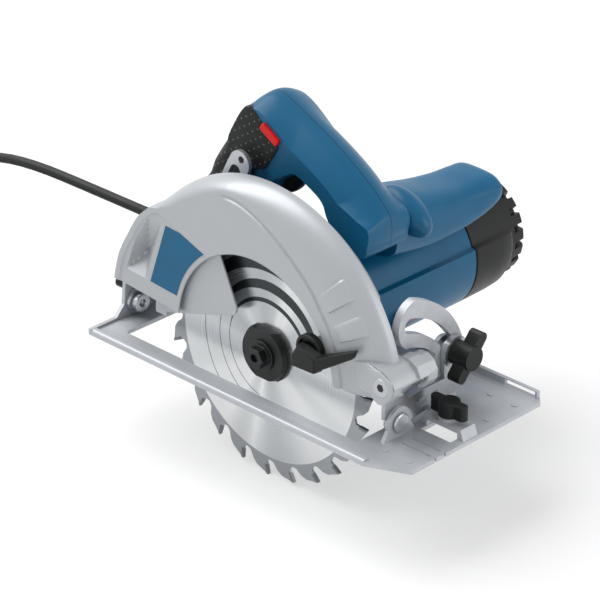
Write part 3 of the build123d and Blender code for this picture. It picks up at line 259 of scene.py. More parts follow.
def handle_plastic():
    """Blue nylon of the two shells: satin, with the fine dark parting line along the handle's back."""
    made, tree, shader = material("moulded_blue_nylon_shells", {
        "Roughness": 0.36, "Specular IOR Level": SHEEN})
    split = add(tree, "ShaderNodeSeparateXYZ", {"Vector": place(tree, centre=(0, SEAM_Y + BLADE_Y, 0))})
    # The joint is drawn about twice as wide as the real one, so that a pixel shows it
    away = add(tree, "ShaderNodeMath", {0: split["Y"]}, operation="ABSOLUTE")[0]
    seam = add(tree, "ShaderNodeMath", {0: away, 1: SEAM_WIDTH / 2}, operation="LESS_THAN")[0]
    mixed = add(tree, "ShaderNodeMix", {0: seam, 6: colour(BLUE), 7: colour("#0A2A3C")}, data_type="RGBA")
    tree.links.new(mixed[2], shader.inputs["Base Color"])
    return made


def plain_finish(name, code, metallic, roughness, size, depth):
    """One finish: a fine grain softens its highlights, and wide clouds shift its gloss and its lightness a
    little, as handling and moulding do. Mouldings shine less than metal."""
    made, tree, shader = material(name, {
        "Metallic": metallic, "Specular IOR Level": 0.5 if metallic else SHEEN})
    grain(tree, shader, size, depth)
    cloud = add(tree, "ShaderNodeTexNoise", {
        "Vector": place(tree), "Scale": 1 / CLOUD, "Detail": 3.0})["Fac"]
    gloss = add(tree, "ShaderNodeMapRange", {
        "Value": cloud, "From Min": 0.3, "From Max": 0.7,
        "To Min": roughness - 0.05, "To Max": roughness + 0.05})
    tree.links.new(gloss[0], shader.inputs["Roughness"])
    tone = add(tree, "ShaderNodeMapRange", {
        "Value": cloud, "From Min": 0.3, "From Max": 0.7, "To Min": 0.94, "To Max": 1.06})
    shade = add(tree, "ShaderNodeHueSaturation", {"Value": tone[0], "Color": colour(code)})
    tree.links.new(shade[0], shader.inputs["Base Color"])
    return made


PLAIN_FINISHES = {
    # Slot: name, colour, metallic, roughness, grain size and grain depth in millimetres
    # Bolts and rivets: pale metal with small bright glints
    "zinc_steel": ("zinc_plated_turned_steel", "#B9BCC0", 0.85, 0.3, 0.8, 0.006),
    # Teeth: a darker, duller grey than the disc
    "carbide": ("brazed_tungsten_carbide", "#74777A", 0.9, 0.42, 0.8, 0.006),
    # Motor case and hand rest: deep satin blue with long soft highlights
    "blue_plastic": ("moulded_blue_nylon", BLUE, 0.0, 0.36, 0.7, 0.003),
    # Knobs, cap and lever: near black with a fine leather-like grain
    "black_plastic": ("moulded_black_nylon", "#101212", 0.0, 0.45, 0.6, 0.01),
    # Buttons: the one strong warm colour
    "red_plastic": ("moulded_red_nylon", "#DC0B06", 0.0, 0.36, 0.8, 0.006),
    # Cord: dull black, with no sharp glint along its length
    "cord_rubber": ("extruded_black_rubber", "#17191A", 0.0, 0.5, 1.0, 0.01),
    # Label: an even blue, smoother than the case
    "label_blue": ("printed_blue_foil", "#005E85", 0.0, 0.35, 2.0, 0.002),
    # Gears: mid-grey metal with clear highlights
    "gear_steel": ("cut_and_hardened_gear_steel", "#8D9094", 0.9, 0.35, 0.8, 0.006),
    # Dark screws and sockets, and the disc of painted shade in the hinge bolt's socket: black with a faint
    # metal shine
    "black_steel": ("turned_black_oxide_steel", "#1D2020", 0.35, 0.42, 0.8, 0.006),
    # Motor cores: dull dark grey metal
    "core_steel": ("stacked_sheet_steel", "#77797C", 0.9, 0.5, 0.8, 0.006),
    # Windings: warm orange metal
    "copper": ("enamelled_copper_wire", "#B4622F", 0.9, 0.35, 0.8, 0.006),
    # Brushes: dead matt dark grey
    "carbon": ("pressed_carbon", "#2A2A2B", 0.0, 0.7, 0.8, 0.006),
    # Bush: dull brown-gold metal
    "bronze": ("sintered_bronze", "#9A7340", 0.9, 0.45, 0.8, 0.006),
}


def build_materials():
    """Every slot's material by the slot's name, and the look of the handle's shells."""
    made = {slot: plain_finish(*finish) for slot, finish in PLAIN_FINISHES.items()}
    made["guard_alloy"] = silver_paint()
    made["sole_steel"] = zinc_sheet()
    made["blade_steel"] = blade_steel()
    made["grip_rubber"] = dotted_rubber()
    made["handle_shells"] = handle_plastic()
    return made


# Shapes, lengths in millimetres and angles in degrees

MERGE = 0.002
CAD_MERGE = 0.001
CAD_FLAT = 0.4
CAD_SHARP = 30
CAD_BEVEL = 32
PRISM_SHARP = 25
ROUND_SHARP = 60
CORNER_SEGMENTS = 8


def row_frame(points):
    """Blade-frame millimetres (X, distance from the blade, height over its axis) as row-frame metres."""
    return (np.asarray(points, float) + (0, BLADE_Y, SPINDLE_Z)) / 1000


def finish_piece(name, mesh, body, slot, stands_for, sharp, look=None):
    """Smooth shading up to an angle, the material of its slot, and the body of one piece."""
    mesh.polygons.foreach_set("use_smooth", np.ones(len(mesh.polygons), bool))
    mesh.set_sharp_from_angle(angle=math.radians(sharp))
    mesh.materials.clear()
    mesh.materials.append(look or MATERIALS[slot])
    made = bpy.data.objects.new(name, mesh)
    bpy.context.scene.collection.objects.link(made)
    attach(made, body)
    if stands_for:
        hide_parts(*stands_for)
    return made


def from_faces(name, points, faces, body, slot, stands_for=(), sharp=38, look=None):
    """Piece from blade-frame points and faces, its faces turned outward."""
    mesh = bpy.data.meshes.new(name)
    mesh.from_pydata(row_frame(points).tolist(), [], faces)
    work = bmesh.new()
    work.from_mesh(mesh)
    bmesh.ops.remove_doubles(work, verts=work.verts, dist=MERGE / 1000)
    bmesh.ops.recalc_face_normals(work, faces=work.faces)
    work.to_mesh(mesh)
    work.free()
    return finish_piece(name, mesh, body, slot, stands_for, sharp, look)


def grid_faces(rows, cols, wrap_rows=False, wrap_cols=True):
    """Quads of a grid of points, closed on itself along rows or columns if asked."""
    index = np.arange(rows * cols).reshape(rows, cols)
    if wrap_rows:
        index = np.vstack([index, index[:1]])
    if wrap_cols:
        index = np.hstack([index, index[:, :1]])
    return np.stack([index[:-1, :-1], index[:-1, 1:], index[1:, 1:], index[1:, :-1]], -1).reshape(-1, 4)


def tube_piece(name, grid, body, slot, stands_for=(), sharp=38):
    """Piece from rings of points, its two end rings closed by flat caps."""
    rows, cols = grid.shape[:2]
    faces = grid_faces(rows, cols).tolist()
    faces += [list(range(cols)), list(range((rows - 1) * cols, rows * cols))]
    return from_faces(name, grid.reshape(-1, 3), faces, body, slot, stands_for, sharp)


def smooth_rows(table, count, closed=False):
    """Rows of a table passed through a smooth curve: a uniform Catmull-Rom spline through all its columns."""
    table = np.asarray(table, float)
    n = len(table)
    t = np.linspace(0, n if closed else n - 1, count, endpoint=not closed)
    i = np.minimum(t.astype(int), n - 1 if closed else n - 2)
    f = (t - i)[:, None]
    pick = [(i + k) % n if closed else np.clip(i + k, 0, n - 1) for k in (-1, 0, 1, 2)]
    a, b, c, d = (table[k] for k in pick)
    square = (2 * a - 5 * b + 4 * c - d) * f ** 2
    cube = (3 * b - a - 3 * c + d) * f ** 3
    return 0.5 * (2 * b + (c - a) * f + square + cube)


def round_edges(piece, width, segments, angle, weighted=False):
    """Bevel of this width on edges sharper than an angle, or on the weighted ones alone."""
    edge = piece.modifiers.new("corner" if weighted else "edge", "BEVEL")
    edge.width = width / 1000
    edge.segments = segments
    edge.limit_method = "WEIGHT" if weighted else "ANGLE"
    edge.angle_limit = math.radians(angle)


def thicken(piece, wall):
    """Solid wall of this thickness behind an open sheet."""
    made = piece.modifiers.new("wall", "SOLIDIFY")
    made.thickness = wall / 1000
    made.offset = -1


def weigh_corner(mesh, corner, reach):
    """Bevel weight 1 on the edges that lie wholly within a reach of a corner in blade-frame X and height."""
    points = np.empty(len(mesh.vertices) * 3, np.float32)
    mesh.vertices.foreach_get("co", points)
    ends = np.empty(len(mesh.edges) * 2, np.int32)
    mesh.edges.foreach_get("vertices", ends)
    flat = points.reshape(-1, 3)[:, [0, 2]] * 1000 - (0, SPINDLE_Z)
    near = np.linalg.norm(flat - corner, axis=1) < reach
    weight = mesh.attributes.new("bevel_weight_edge", "FLOAT", "EDGE")
    weight.data.foreach_set("value", near[ends.reshape(-1, 2)].all(axis=1).astype(np.float32))


# The lower guard's rear corner in X and height, its rounding, and how near its edges lie
LOWER_CORNER = (-18.6, 24.4)
LOWER_ROUND = 8.0
LOWER_REACH = 2.5


def soften(node, width):
    """Copy of a CAD node with its split corners merged and its sharp edges rounded by a bevel, and the lower
    guard's rear corner rounded more."""
    source = frame["nodes"][node]
    mesh = source.data.copy()
    for layer in [a for a in mesh.attributes if a.name == "custom_normal"]:
        mesh.attributes.remove(layer)
    work = bmesh.new()
    work.from_mesh(mesh)
    bmesh.ops.remove_doubles(work, verts=work.verts, dist=CAD_MERGE / 1000)
    bmesh.ops.dissolve_limit(work, angle_limit=math.radians(CAD_FLAT), verts=work.verts, edges=work.edges)
    work.to_mesh(mesh)
    work.free()
    made = finish_piece("soft_" + node, mesh, source["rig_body"], SLOT_OF[node], (node,), CAD_SHARP)
    if node == "lower_guard":
        weigh_corner(mesh, LOWER_CORNER, LOWER_REACH)
        round_edges(made, LOWER_ROUND, CORNER_SEGMENTS, CAD_BEVEL, weighted=True)
    round_edges(made, width, 2, CAD_BEVEL)


def prism(name, sections, body, slot, stands_for=(), edge=1.0, segments=3):
    """Straight-sided piece: matching outlines in X and height at given distances from the blade, joined by
    flat sides, its edges rounded by a bevel."""
    flat = np.array([outline for _, outline in sections], float)
    away = np.array([at for at, _ in sections], float)[:, None]
    grid = np.stack([flat[..., 0], np.broadcast_to(away, flat.shape[:2]), flat[..., 1]], axis=-1)
    made = tube_piece(name, grid, body, slot, stands_for, PRISM_SHARP)
    round_edges(made, edge, segments, PRISM_SHARP)


def circle_points(radius, degrees, centre=HINGE):
    """Points of a circle in X and height at these angles, about the depth hinge unless told otherwise."""
    turn = np.radians(np.asarray(degrees, float))
    return np.column_stack([centre[0] + radius * np.cos(turn), centre[1] + radius * np.sin(turn)])


def about_axis(away, radius, degrees, centre):
    """Rings about an axis along Y: columns of distances from the blade and of radii, at a row of angles."""
    turn = np.radians(degrees)[None, :]
    return np.stack([centre[0] + radius * np.cos(turn), away + 0 * turn,
                     centre[1] + radius * np.sin(turn)], axis=-1)


# Handle

HANDLE_LOOP = [
    # Outer X and height, inner X and height, middle, half width, crown, inner round, roundness
    (-128, 59, -67, 66, 47, 18, 12, 6, 1.0),
    (-97, 88, -58, 84, 48, 17.5, 12, 6, 1.0),
    (-88, 105, -40, 93, 48, 17.5, 12, 6, 1.0),
    (-78.6, 119.4, -30, 97, 48, 17.5, 12, 6, 1.0),
    (-68, 134, -25, 101.5, 48, 18, 12, 5, 1.0),
    (-58.5, 148, -21.5, 106.5, 49, 20.5, 8, 4, 0.5),
    (-48, 160, -17, 110.5, 50, 22, 6, 3, 0.15),
    (-36.5, 164, -11, 114, 50, 22, 11, 3, 0.0),
    (-13, 154.5, -3, 117, 50, 22, 16.5, 3, 0.0),
    (18, 139, 10, 111, 50, 22, 17.5, 3, 0.0),
    (44, 122, 18.5, 105.5, 50, 22, 16, 3, 0.0),
    (60, 108, 22, 98, 49.5, 21.5, 9, 3, 0.0),
    (64, 101, 26, 92, 48, 20, 1, 3, 0.0),
    (64, 89, 29, 87, 48, 20, 1, 3, 0.0),
    (56, 77, 21, 82, 48, 20, 1, 3, 0.0),
    (4, 53, 5, 74, 47, 19, 3, 3, 0.5),
    (-30, 41, -25, 69.5, 47, 19, 3, 3, 0.5),
    (-60, 32, -45, 63.5, 47, 19, 3, 3, 0.5),
    (-108, 25, -58, 58, 47, 18, 6, 4, 0.7),
    (-136, 21, -63, 58, 47, 17, 8, 5, 0.8),
    (-140.5, 42, -66, 61.5, 47, 17, 10, 6, 1.0),
]
HANDLE_ROWS = 252
ARCH_POINTS = 25
SIDE_STEPS = np.array([0.02, 0.2, 0.4, 0.6, 0.8, 0.98])
SIDE_DRAFT = 0.05
CROWN_MOST = 0.45
# Stations of the loop between which the rubber lies, the side columns it takes in, its rise and its wall
GRIP_START = 0.3
GRIP_END = 5.35
GRIP_COLUMNS = 3
GRIP_RISE = 0.7
GRIP_WALL = 1.4


def handle_grid(rows, grow):
    """Rings round the closed handle: at each station a section runs from the inner to the outer line, its
    flat sides drawing in a little towards the inner line where they aren't round, closed by an arch at either
    end, each arch a parabola blended to an ellipse by the roundness."""
    s = smooth_rows(HANDLE_LOOP, rows, closed=True)
    outer, inner = s[:, 0:2], s[:, 2:4]
    span = outer - inner
    reach = np.linalg.norm(span, axis=1, keepdims=True)
    heading = span / reach
    middle, half, crown, root, soft = (s[:, k:k + 1] for k in (4, 5, 6, 7, 8))
    soft = np.clip(soft, 0, 1)
    crown = np.minimum(crown, CROWN_MOST * reach)
    arch = np.cos(np.linspace(0, np.pi, ARCH_POINTS))
    bow = (1 - soft) * arch ** 2 + soft * (1 - np.sqrt(np.clip(1 - arch ** 2, 0, 1)))
    straight = (reach - crown - root) * SIDE_STEPS
    rise = np.concatenate([reach + grow - crown * bow, reach - crown - straight,
                           (root * bow)[:, ::-1] - grow, root + straight], axis=1)
    slim = SIDE_DRAFT * (1 - soft)
    across = np.concatenate([arch + 0 * slim, slim * SIDE_STEPS - 1, arch * (slim - 1),
                             1 - slim * (1 - SIDE_STEPS)], axis=1)
    flat = inner[:, None, :] + heading[:, None, :] * rise[:, :, None]
    return np.stack([flat[:, :, 0], middle + across * (half + grow), flat[:, :, 1]], axis=-1)


CHEEK = np.array([
    (-50, 155), (-42.5, 157), (-36, 152), (-30.5, 146.3), (-24, 141), (-18.8, 137), (-20, 132), (-25, 124.5),
    (-30.6, 116.6), (-36, 114), (-42.2, 112.3), (-44, 107), (-50, 103), (-62, 112), (-66, 126), (-60, 140),
])
CHEEK_POINTS = 96
CHEEK_EDGE = 0.8
CHEEK_NEAR = (27.4, 34.0)
CHEEK_FAR = (66.0, 72.6)
CHEEK_DROP = 9.0


def cheek_piece(name, outline, near, far):
    """Rubber cheek: a smoothed closed outline in X and height carried from near to far, its rims rounded."""
    ring = smooth_rows(outline, CHEEK_POINTS, closed=True)
    middle = ring.mean(axis=0)
    size = np.abs(ring - middle).max()
    # Each ring's distance from the blade, and the share of the edge by which it shrinks
    rims = np.array([(near, 1.0), (near + CHEEK_EDGE * 0.3, 0.3), (near + CHEEK_EDGE, 0.0),
                     (far - CHEEK_EDGE, 0.0), (far - CHEEK_EDGE * 0.3, 0.3), (far, 1.0)])
    shrink = 1 - rims[:, 1] * CHEEK_EDGE / size
    flat = middle + (ring - middle)[None] * shrink[:, None, None]
    level = np.broadcast_to(rims[:, :1], flat.shape[:2])
    grid = np.stack([flat[:, :, 0], level, flat[:, :, 1]], axis=-1)
    tube_piece(name, grid, "saw_body", "grip_rubber")


def make_handle():
    """Handle shells as one closed ring, the rubber over its rear leg, and a rubber cheek on either side."""
    grid = handle_grid(HANDLE_ROWS, 0.0)
    cols = grid.shape[1]
    quads = grid_faces(HANDLE_ROWS, cols, True, True)
    from_faces("handle_shells", grid.reshape(-1, 3), quads.tolist(), "saw_body", "blue_plastic",
               ("handle_left_shell", "handle_right_shell"), sharp=20, look=MATERIALS["handle_shells"])
    row, col = np.divmod(np.arange(len(quads)), cols)
    station = row / HANDLE_ROWS * len(HANDLE_LOOP)
    over_back = (col < ARCH_POINTS + GRIP_COLUMNS) | (col > cols - GRIP_COLUMNS - 1)
    wraps = (station > GRIP_START) & (station < GRIP_END) & over_back
    pad = from_faces("grip_pad", handle_grid(HANDLE_ROWS, GRIP_RISE).reshape(-1, 3), quads[wraps].tolist(),
                     "saw_body", "grip_rubber", ("grip_cover",))
    thicken(pad, GRIP_WALL)
    cheek_piece("grip_cheek_near", CHEEK, *CHEEK_NEAR)
    cheek_piece("grip_cheek_far", CHEEK - (0, CHEEK_DROP), *CHEEK_FAR)


REST_SECTIONS = [
    # Distance from the blade, then X and height round the section from the rear top edge
    (60, (17, 108), (40, 112), (56, 104), (60, 90), (58, 72), (40, 66), (22, 74), (16, 92)),
    (78, (18, 104), (38, 106), (54, 98), (58, 86), (56.5, 68), (40, 64), (22, 72), (17.5, 90)),
    (97, (19, 100.5), (40, 100.5), (53, 94), (57.5, 83), (55.5, 65), (42, 63.5), (23, 71), (18.5, 86)),
    (116, (19, 96.5), (41, 96), (53, 91), (57, 82), (55.5, 65), (42, 64), (23, 71), (18.5, 84)),
    (137, (19.2, 93.6), (42, 93), (53, 89), (57, 81), (55.5, 66), (42, 65), (23, 71), (18.7, 83)),
    (156, (20, 93), (43.5, 93), (54, 89), (58, 82), (56, 70), (44, 67.5), (24, 72), (19.5, 83)),
    (166, (21, 92.8), (45, 92.6), (55, 88), (58.2, 82), (56, 74), (46, 70), (26, 74), (20.5, 83.5)),
    (170.8, (23, 91), (45, 91), (54, 87), (56.5, 82), (54.5, 76), (46, 73), (28, 76), (22.5, 83.5)),
    (172.2, (28, 87.5), (44, 88), (50, 85.5), (52, 82), (50.5, 78.5), (45, 77), (33, 79), (28, 83)),
]
REST_ROWS = 64
REST_POINTS = 80


def make_front_handle():
    """Hand rest: closed sections smoothed round and along Y from the handle's side to the free end."""
    table = [np.concatenate([[row[0]], np.array(row[1:], float).ravel()]) for row in REST_SECTIONS]
    s = smooth_rows(table, REST_ROWS)
    corners = len(REST_SECTIONS[0]) - 1
    around = s[:, 1:].reshape(REST_ROWS, corners, 2).transpose(1, 0, 2).reshape(corners, -1)
    rings = smooth_rows(around, REST_POINTS, closed=True).reshape(REST_POINTS, REST_ROWS, 2)
    rings = rings.transpose(1, 0, 2)
    level = np.broadcast_to(s[:, 0:1], rings.shape[:2])
    grid = np.stack([rings[:, :, 0], level, rings[:, :, 1]], axis=-1)
    tube_piece("front_hand_rest", grid, "saw_body", "blue_plastic", ("front_handle",), ROUND_SHARP)


# The bulge's centre and radii along X, away from the blade and up, its lean and the gap at its poles
BULGE_CENTRE = (50, 80, 94)
BULGE_RADII = (23, 12, 12)
BULGE_LEAN = -27
POLE = 0.02


def make_thumb_bulge():
    """Bulge between the handle and the hand rest: an ellipsoid leaning about Y, from rings of latitude."""
    u = np.linspace(POLE, np.pi - POLE, 32)[:, None]
    v = np.linspace(0, 2 * np.pi, 48, endpoint=False)[None, :]
    x = BULGE_RADII[0] * np.sin(u) * np.cos(v)
    y = BULGE_RADII[1] * np.sin(u) * np.sin(v)
    z = BULGE_RADII[2] * np.cos(u) + 0 * v
    c, s = math.cos(math.radians(BULGE_LEAN)), math.sin(math.radians(BULGE_LEAN))
    grid = np.stack([BULGE_CENTRE[0] + x * c - z * s, BULGE_CENTRE[1] + y,
                     BULGE_CENTRE[2] + x * s + z * c], axis=-1)
    tube_piece("thumb_bulge", grid, "saw_body", "blue_plastic", sharp=ROUND_SHARP)


TRIGGER_LINE = [
    # X, bottom, top, half width
    (-41, 106, 109, 3), (-38, 101.5, 111, 6), (-32, 97, 113, 7.5), (-26, 95.5, 115, 8), (-20, 97, 117, 8),
    (-15, 101.5, 119, 7), (-12, 107, 120, 4),
]
TRIGGER_ROWS = 40
TRIGGER_MIDDLE = 47
TRIGGER_SQUARE = 0.7


def make_trigger():
    """Switch trigger: ellipses with squared sides carried along X, deepest in the middle."""
    along, low, high, half = smooth_rows(TRIGGER_LINE, TRIGGER_ROWS).T[:, :, None]
    t = np.linspace(0, 2 * np.pi, TRIGGER_ROWS, endpoint=False)[None, :]
    side = np.sign(np.cos(t)) * np.abs(np.cos(t)) ** TRIGGER_SQUARE
    grid = np.stack([along + 0 * t, TRIGGER_MIDDLE + half * side,
                     (low + high) / 2 + (high - low) / 2 * np.sin(t)], axis=-1)
    tube_piece("trigger_blade", grid, "trigger", "black_plastic", ("trigger",), ROUND_SHARP)


# Motor

MOTOR_AXIS = (4.0, 26.2)
CASE_R = 40.8
LEDGE_R = 44.3
# Half of the angle that the raised lower shell takes up, and the angle over which it rises
LEDGE_HALF = 107
LEDGE_RUN = 1.6
MOTOR_POINTS = 240
CAP_NOTCHES = 20
NOTCH_START = 0.6
CASE_PROFILE = [
    # Distance from the blade, radius, share of the ledge, notch depth
    (31.5, 38, 0, 0), (31.5, CASE_R, 0, 0), (33, CASE_R, 1, 0), (90, CASE_R, 1, 0), (155.6, CASE_R, 1, 0),
    (156.6, CASE_R - 0.8, 1, 0), (156.6, 36, 0.6, 0),
]
CAP_PROFILE = [
    (157, 36, 0.6, 0), (157, CASE_R - 0.6, 1, 0), (157.8, CASE_R, 1, 0), (184, CASE_R - 0.4, 1, 0),
    (194, CASE_R - 0.6, 0.85, 0), (197.5, CASE_R - 0.8, 0.5, 0), (199, CASE_R - 0.8, 0.0, 0),
    (202.5, CASE_R - 1, 0, 0), (203, CASE_R - 1, 0, 6), (212, CASE_R - 1.6, 0, 6), (214, CASE_R - 4, 0, 4),
    (214, 30, 0, 0), (211, 27, 0, 0), (211, 2, 0, 0),
]


def turned(name, profile, slot, stands_for):
    """Shape turned about the motor's axis. Below 17 degrees above level its radius grows by the profile's
    share of the ledge, and notches cut it at even angles to the profile's depth."""
    angle = np.arange(MOTOR_POINTS) * 360 / MOTOR_POINTS
    from_bottom = np.abs((angle + 90 + 180) % 360 - 180)
    ledge = (LEDGE_R - CASE_R) * np.clip((LEDGE_HALF - from_bottom) / LEDGE_RUN, 0, 1)
    notched = (angle * CAP_NOTCHES / 360) % 1 > NOTCH_START
    away, radius, share, notch = np.array(profile, float).T[:, :, None]
    grid = about_axis(away, radius + share * ledge - notch * notched, angle, MOTOR_AXIS)
    tube_piece(name, grid, "saw_body", slot, stands_for, sharp=30)


def make_motor():
    """Blue motor case with its raised lower shell, and the black end cap with a castellated rim."""
    turned("motor_case", CASE_PROFILE, "blue_plastic", ("motor_housing",))
    turned("motor_end_cap", CAP_PROFILE, "black_plastic", ("end_cap", "case_screws"))


# Upper guard

GUARD_TABLE = np.array([
    # Angle about the guard's centre, outer radius, groove radius, drop behind the crown, groove depth
    (4, 122, 83, 12.5, 1.3), (20, 122, 83, 12.5, 1.3), (42, 122, 84.4, 12.5, 1.3), (50, 122, 86.5, 12.5, 1.3),
    (59, 122, 88.4, 12.5, 1.3), (68, 122, 91.4, 12.5, 1.3), (78, 122, 96.2, 12.5, 1.3),
    (88, 122, 102.4, 12.5, 1.3), (96, 122, 107.4, 12.5, 1.3), (101, 122, 109.4, 12.5, 0.8),
    (106, 122, 109.4, 12.5, 0), (120, 122, 107.5, 12.5, 0), (132, 122, 109, 12, 0),
    (138, 122.3, 114.5, 8, 0), (141, 124.4, 119.5, 4, 0), (148, 127.6, 123, 0.5, 0),
    (156.5, 129.2, 124.6, 0, 0), (165.4, 132.8, 128.2, 0, 0), (175.1, 135, 130.4, 0, 0),
])
GUARD_CENTRE = np.array([-3.0, 2.0])
GUARD_FACE = -14.9
GUARD_WALL = 2.6
# Half of the rows lie before this angle, where the outline changes slowly
GUARD_TURN = 136
GUARD_ROWS = 420
FACE_POINTS = 44
CROWN_POINTS = 22
CROWN_MIDDLE = 1.5
WINDOW_R = 73.5
WINDOW_ROUND = 0.6
FACE_INSET = 0.8
FACE_END = 1.2
# Places across the groove, and the share of its depth at each
GROOVE_ACROSS = np.array([0, 1, 2.6, 3.6, 4.2])
GROOVE_SHAPE = np.array([0, 1, 1, 0, 0])
# Behind the rim: share of the drop, further step inward, the radii on the back wall, and all their depths
BACK_DROP = np.array([0, 0.5, 1, 1])
BACK_INWARD = np.array([0, 0, 0, 2])
BACK_RADII = (60.0, 24.0)
BACK_DEPTHS = (4, 10.5, 16.2, 17, 17, 17)
# First and last angle of each raised pad, its height, and the part of the crown it takes up in radians
PADS = ((38, 46), (25.5, 32.5))
PAD_LIFT = 1.3
PAD_ACROSS = (0.1, 0.9)
STEP_START = np.array([-98.8, 81.0])
STEP_END = np.array([-46.0, 62.0])
STEP_DEPTH = 0.9
STEP_RUN = 0.6
POCKET = np.array([(-101, 71.8), (-88.4, 71), (-105.2, 23.4), (-125.3, 24.8), (-115, 50.4)])
POCKET_APEX = np.array([-113.7, 38.9])
POCKET_DEPTH = 12.0
# Points this near an edge of the pocket move onto it, unless another edge is nearer than the second size
SNAP = 0.5
SNAP_CLEAR = 2.5
SWEEP_R = 53.0
SWEEP_FAR = 9.2


def pocket_edges(flat):
    """Distance inside each edge of the chip pocket's outline, and the edges' inward normals."""
    start, end = POCKET, np.roll(POCKET, -1, axis=0)
    along = (end - start) / np.linalg.norm(end - start, axis=1, keepdims=True)
    normal = np.stack([along[:, 1], -along[:, 0]], axis=1)
    return np.einsum("...ek,ek->...e", flat[..., None, :] - start, normal), normal


def make_guard():
    """Cast guard as one sheet: along the angle, a profile from the window's edge over the flat face, a
    shallow groove and an elliptic crown to the rim, then sloped to the back and across the back wall. Two
    raised pads cross the crown at the front, the chip pocket sinks into the face as an upturned pyramid, and
    the face below a slanting line steps back. Round the hinge the back stays short of the bevel guide's
    sweep."""
    first, last = GUARD_TABLE[[0, -1], 0]
    half = GUARD_ROWS // 2
    degrees = np.concatenate([np.linspace(first, GUARD_TURN, half, endpoint=False),
                              np.linspace(GUARD_TURN, last, half)])
    rim, crease, drop, groove = (np.interp(degrees, GUARD_TABLE[:, 0], GUARD_TABLE[:, k])[:, None]
                                 for k in (1, 2, 3, 4))
    heading = np.stack([np.cos(np.radians(degrees)), np.sin(np.radians(degrees))], axis=1)
    along = heading @ GUARD_CENTRE
    window = (-along + np.sqrt(along ** 2 + WINDOW_R ** 2 - GUARD_CENTRE @ GUARD_CENTRE))[:, None]

    # Profile: radius and distance from the blade at every angle
    phi = np.linspace(0, np.pi / 2, CROWN_POINTS)[None, 1:]
    pad = sum(np.clip(np.minimum(degrees - begin, end - degrees) * 3, 0, 1) for begin, end in PADS)
    lift = np.clip(np.minimum(phi - PAD_ACROSS[0], PAD_ACROSS[1] - phi) * 10, 0, 1) * PAD_LIFT * pad[:, None]
    inner = window + FACE_INSET
    face = inner + (crease - FACE_END - inner) * np.linspace(0, 1, FACE_POINTS)[None, :]
    start = crease + GROOVE_ACROSS[-1]
    radius = np.concatenate([
        window, face, crease + GROOVE_ACROSS, start + (rim - start + lift) * np.sin(phi),
        rim - drop * BACK_DROP - BACK_INWARD, np.tile(BACK_RADII, (GUARD_ROWS, 1))], axis=1)
    front = GUARD_FACE + np.concatenate([
        np.full((GUARD_ROWS, 1), WINDOW_ROUND), np.zeros((GUARD_ROWS, FACE_POINTS)),
        groove * GROOVE_SHAPE], axis=1)
    curve = CROWN_MIDDLE + (GUARD_FACE - CROWN_MIDDLE) * np.cos(phi) - lift * np.cos(phi)
    depth = np.concatenate([front, curve, np.tile(BACK_DEPTHS, (GUARD_ROWS, 1))], axis=1)
    flat = GUARD_CENTRE + radius[:, :, None] * heading[:, None, :]

    # Pocket and step in the face
    inside, normal = pocket_edges(flat)
    nearest = inside.argmin(axis=-1)
    least, second = np.moveaxis(np.sort(inside, axis=-1)[..., :2], -1, 0)
    column = np.arange(depth.shape[1])[None, :]
    on_face = (column >= 1) & (column <= FACE_POINTS)
    snap = on_face & (np.abs(least) < SNAP) & (second > SNAP_CLEAR)
    flat = flat - np.where(snap, least, 0)[:, :, None] * normal[nearest]
    apex = pocket_edges(POCKET_APEX)[0]
    sunk = np.clip((pocket_edges(flat)[0] / apex).min(axis=-1), 0, 1) * POCKET_DEPTH
    line = (STEP_END - STEP_START) / np.linalg.norm(STEP_END - STEP_START)
    below = (flat - STEP_START) @ np.array([line[1], -line[0]])
    step = STEP_DEPTH * np.clip(below / STEP_RUN, 0, 1) * (flat[:, :, 0] < 0)
    depth = depth + np.where(on_face, sunk + step, 0) + np.where(column == 0, step, 0)

    swept = np.linalg.norm(flat - HINGE, axis=-1) < SWEEP_R
    depth = np.where(swept, np.minimum(depth, SWEEP_FAR), depth)
    grid = np.stack([flat[:, :, 0], depth, flat[:, :, 1]], axis=-1)
    quads = grid_faces(GUARD_ROWS, grid.shape[1], False, False).tolist()
    guard = from_faces("guard_casting", grid.reshape(-1, 3), quads, "saw_body", "guard_alloy",
                       ("upper_guard",), sharp=24)
    thicken(guard, GUARD_WALL)


HOOD_TOP = np.array([(95, 31), (103, 34.2), (111, 35), (118.5, 33), (124.5, 28.5), (127, 24)])
HOOD_CHEEK = np.array([(126, 18.5), (121, 13), (113, 11), (103, 14), (95, 20)])
HOOD_INNER = 10.6
KNUCKLE_R = 13.4
END_R = 12.0
END_INNER = 8.2
SOCKET_R = 2.9
LUG = [(103, 32.5), (106, 18), (108.5, 12), (113.5, 9), (119, 10.2), (124, 15.5), (126.4, 22), (124.5, 28.5),
       (114, 33.5)]
WEB = [(93, 14), (93, 33), (104, 35), (113, 33), (110, 14)]


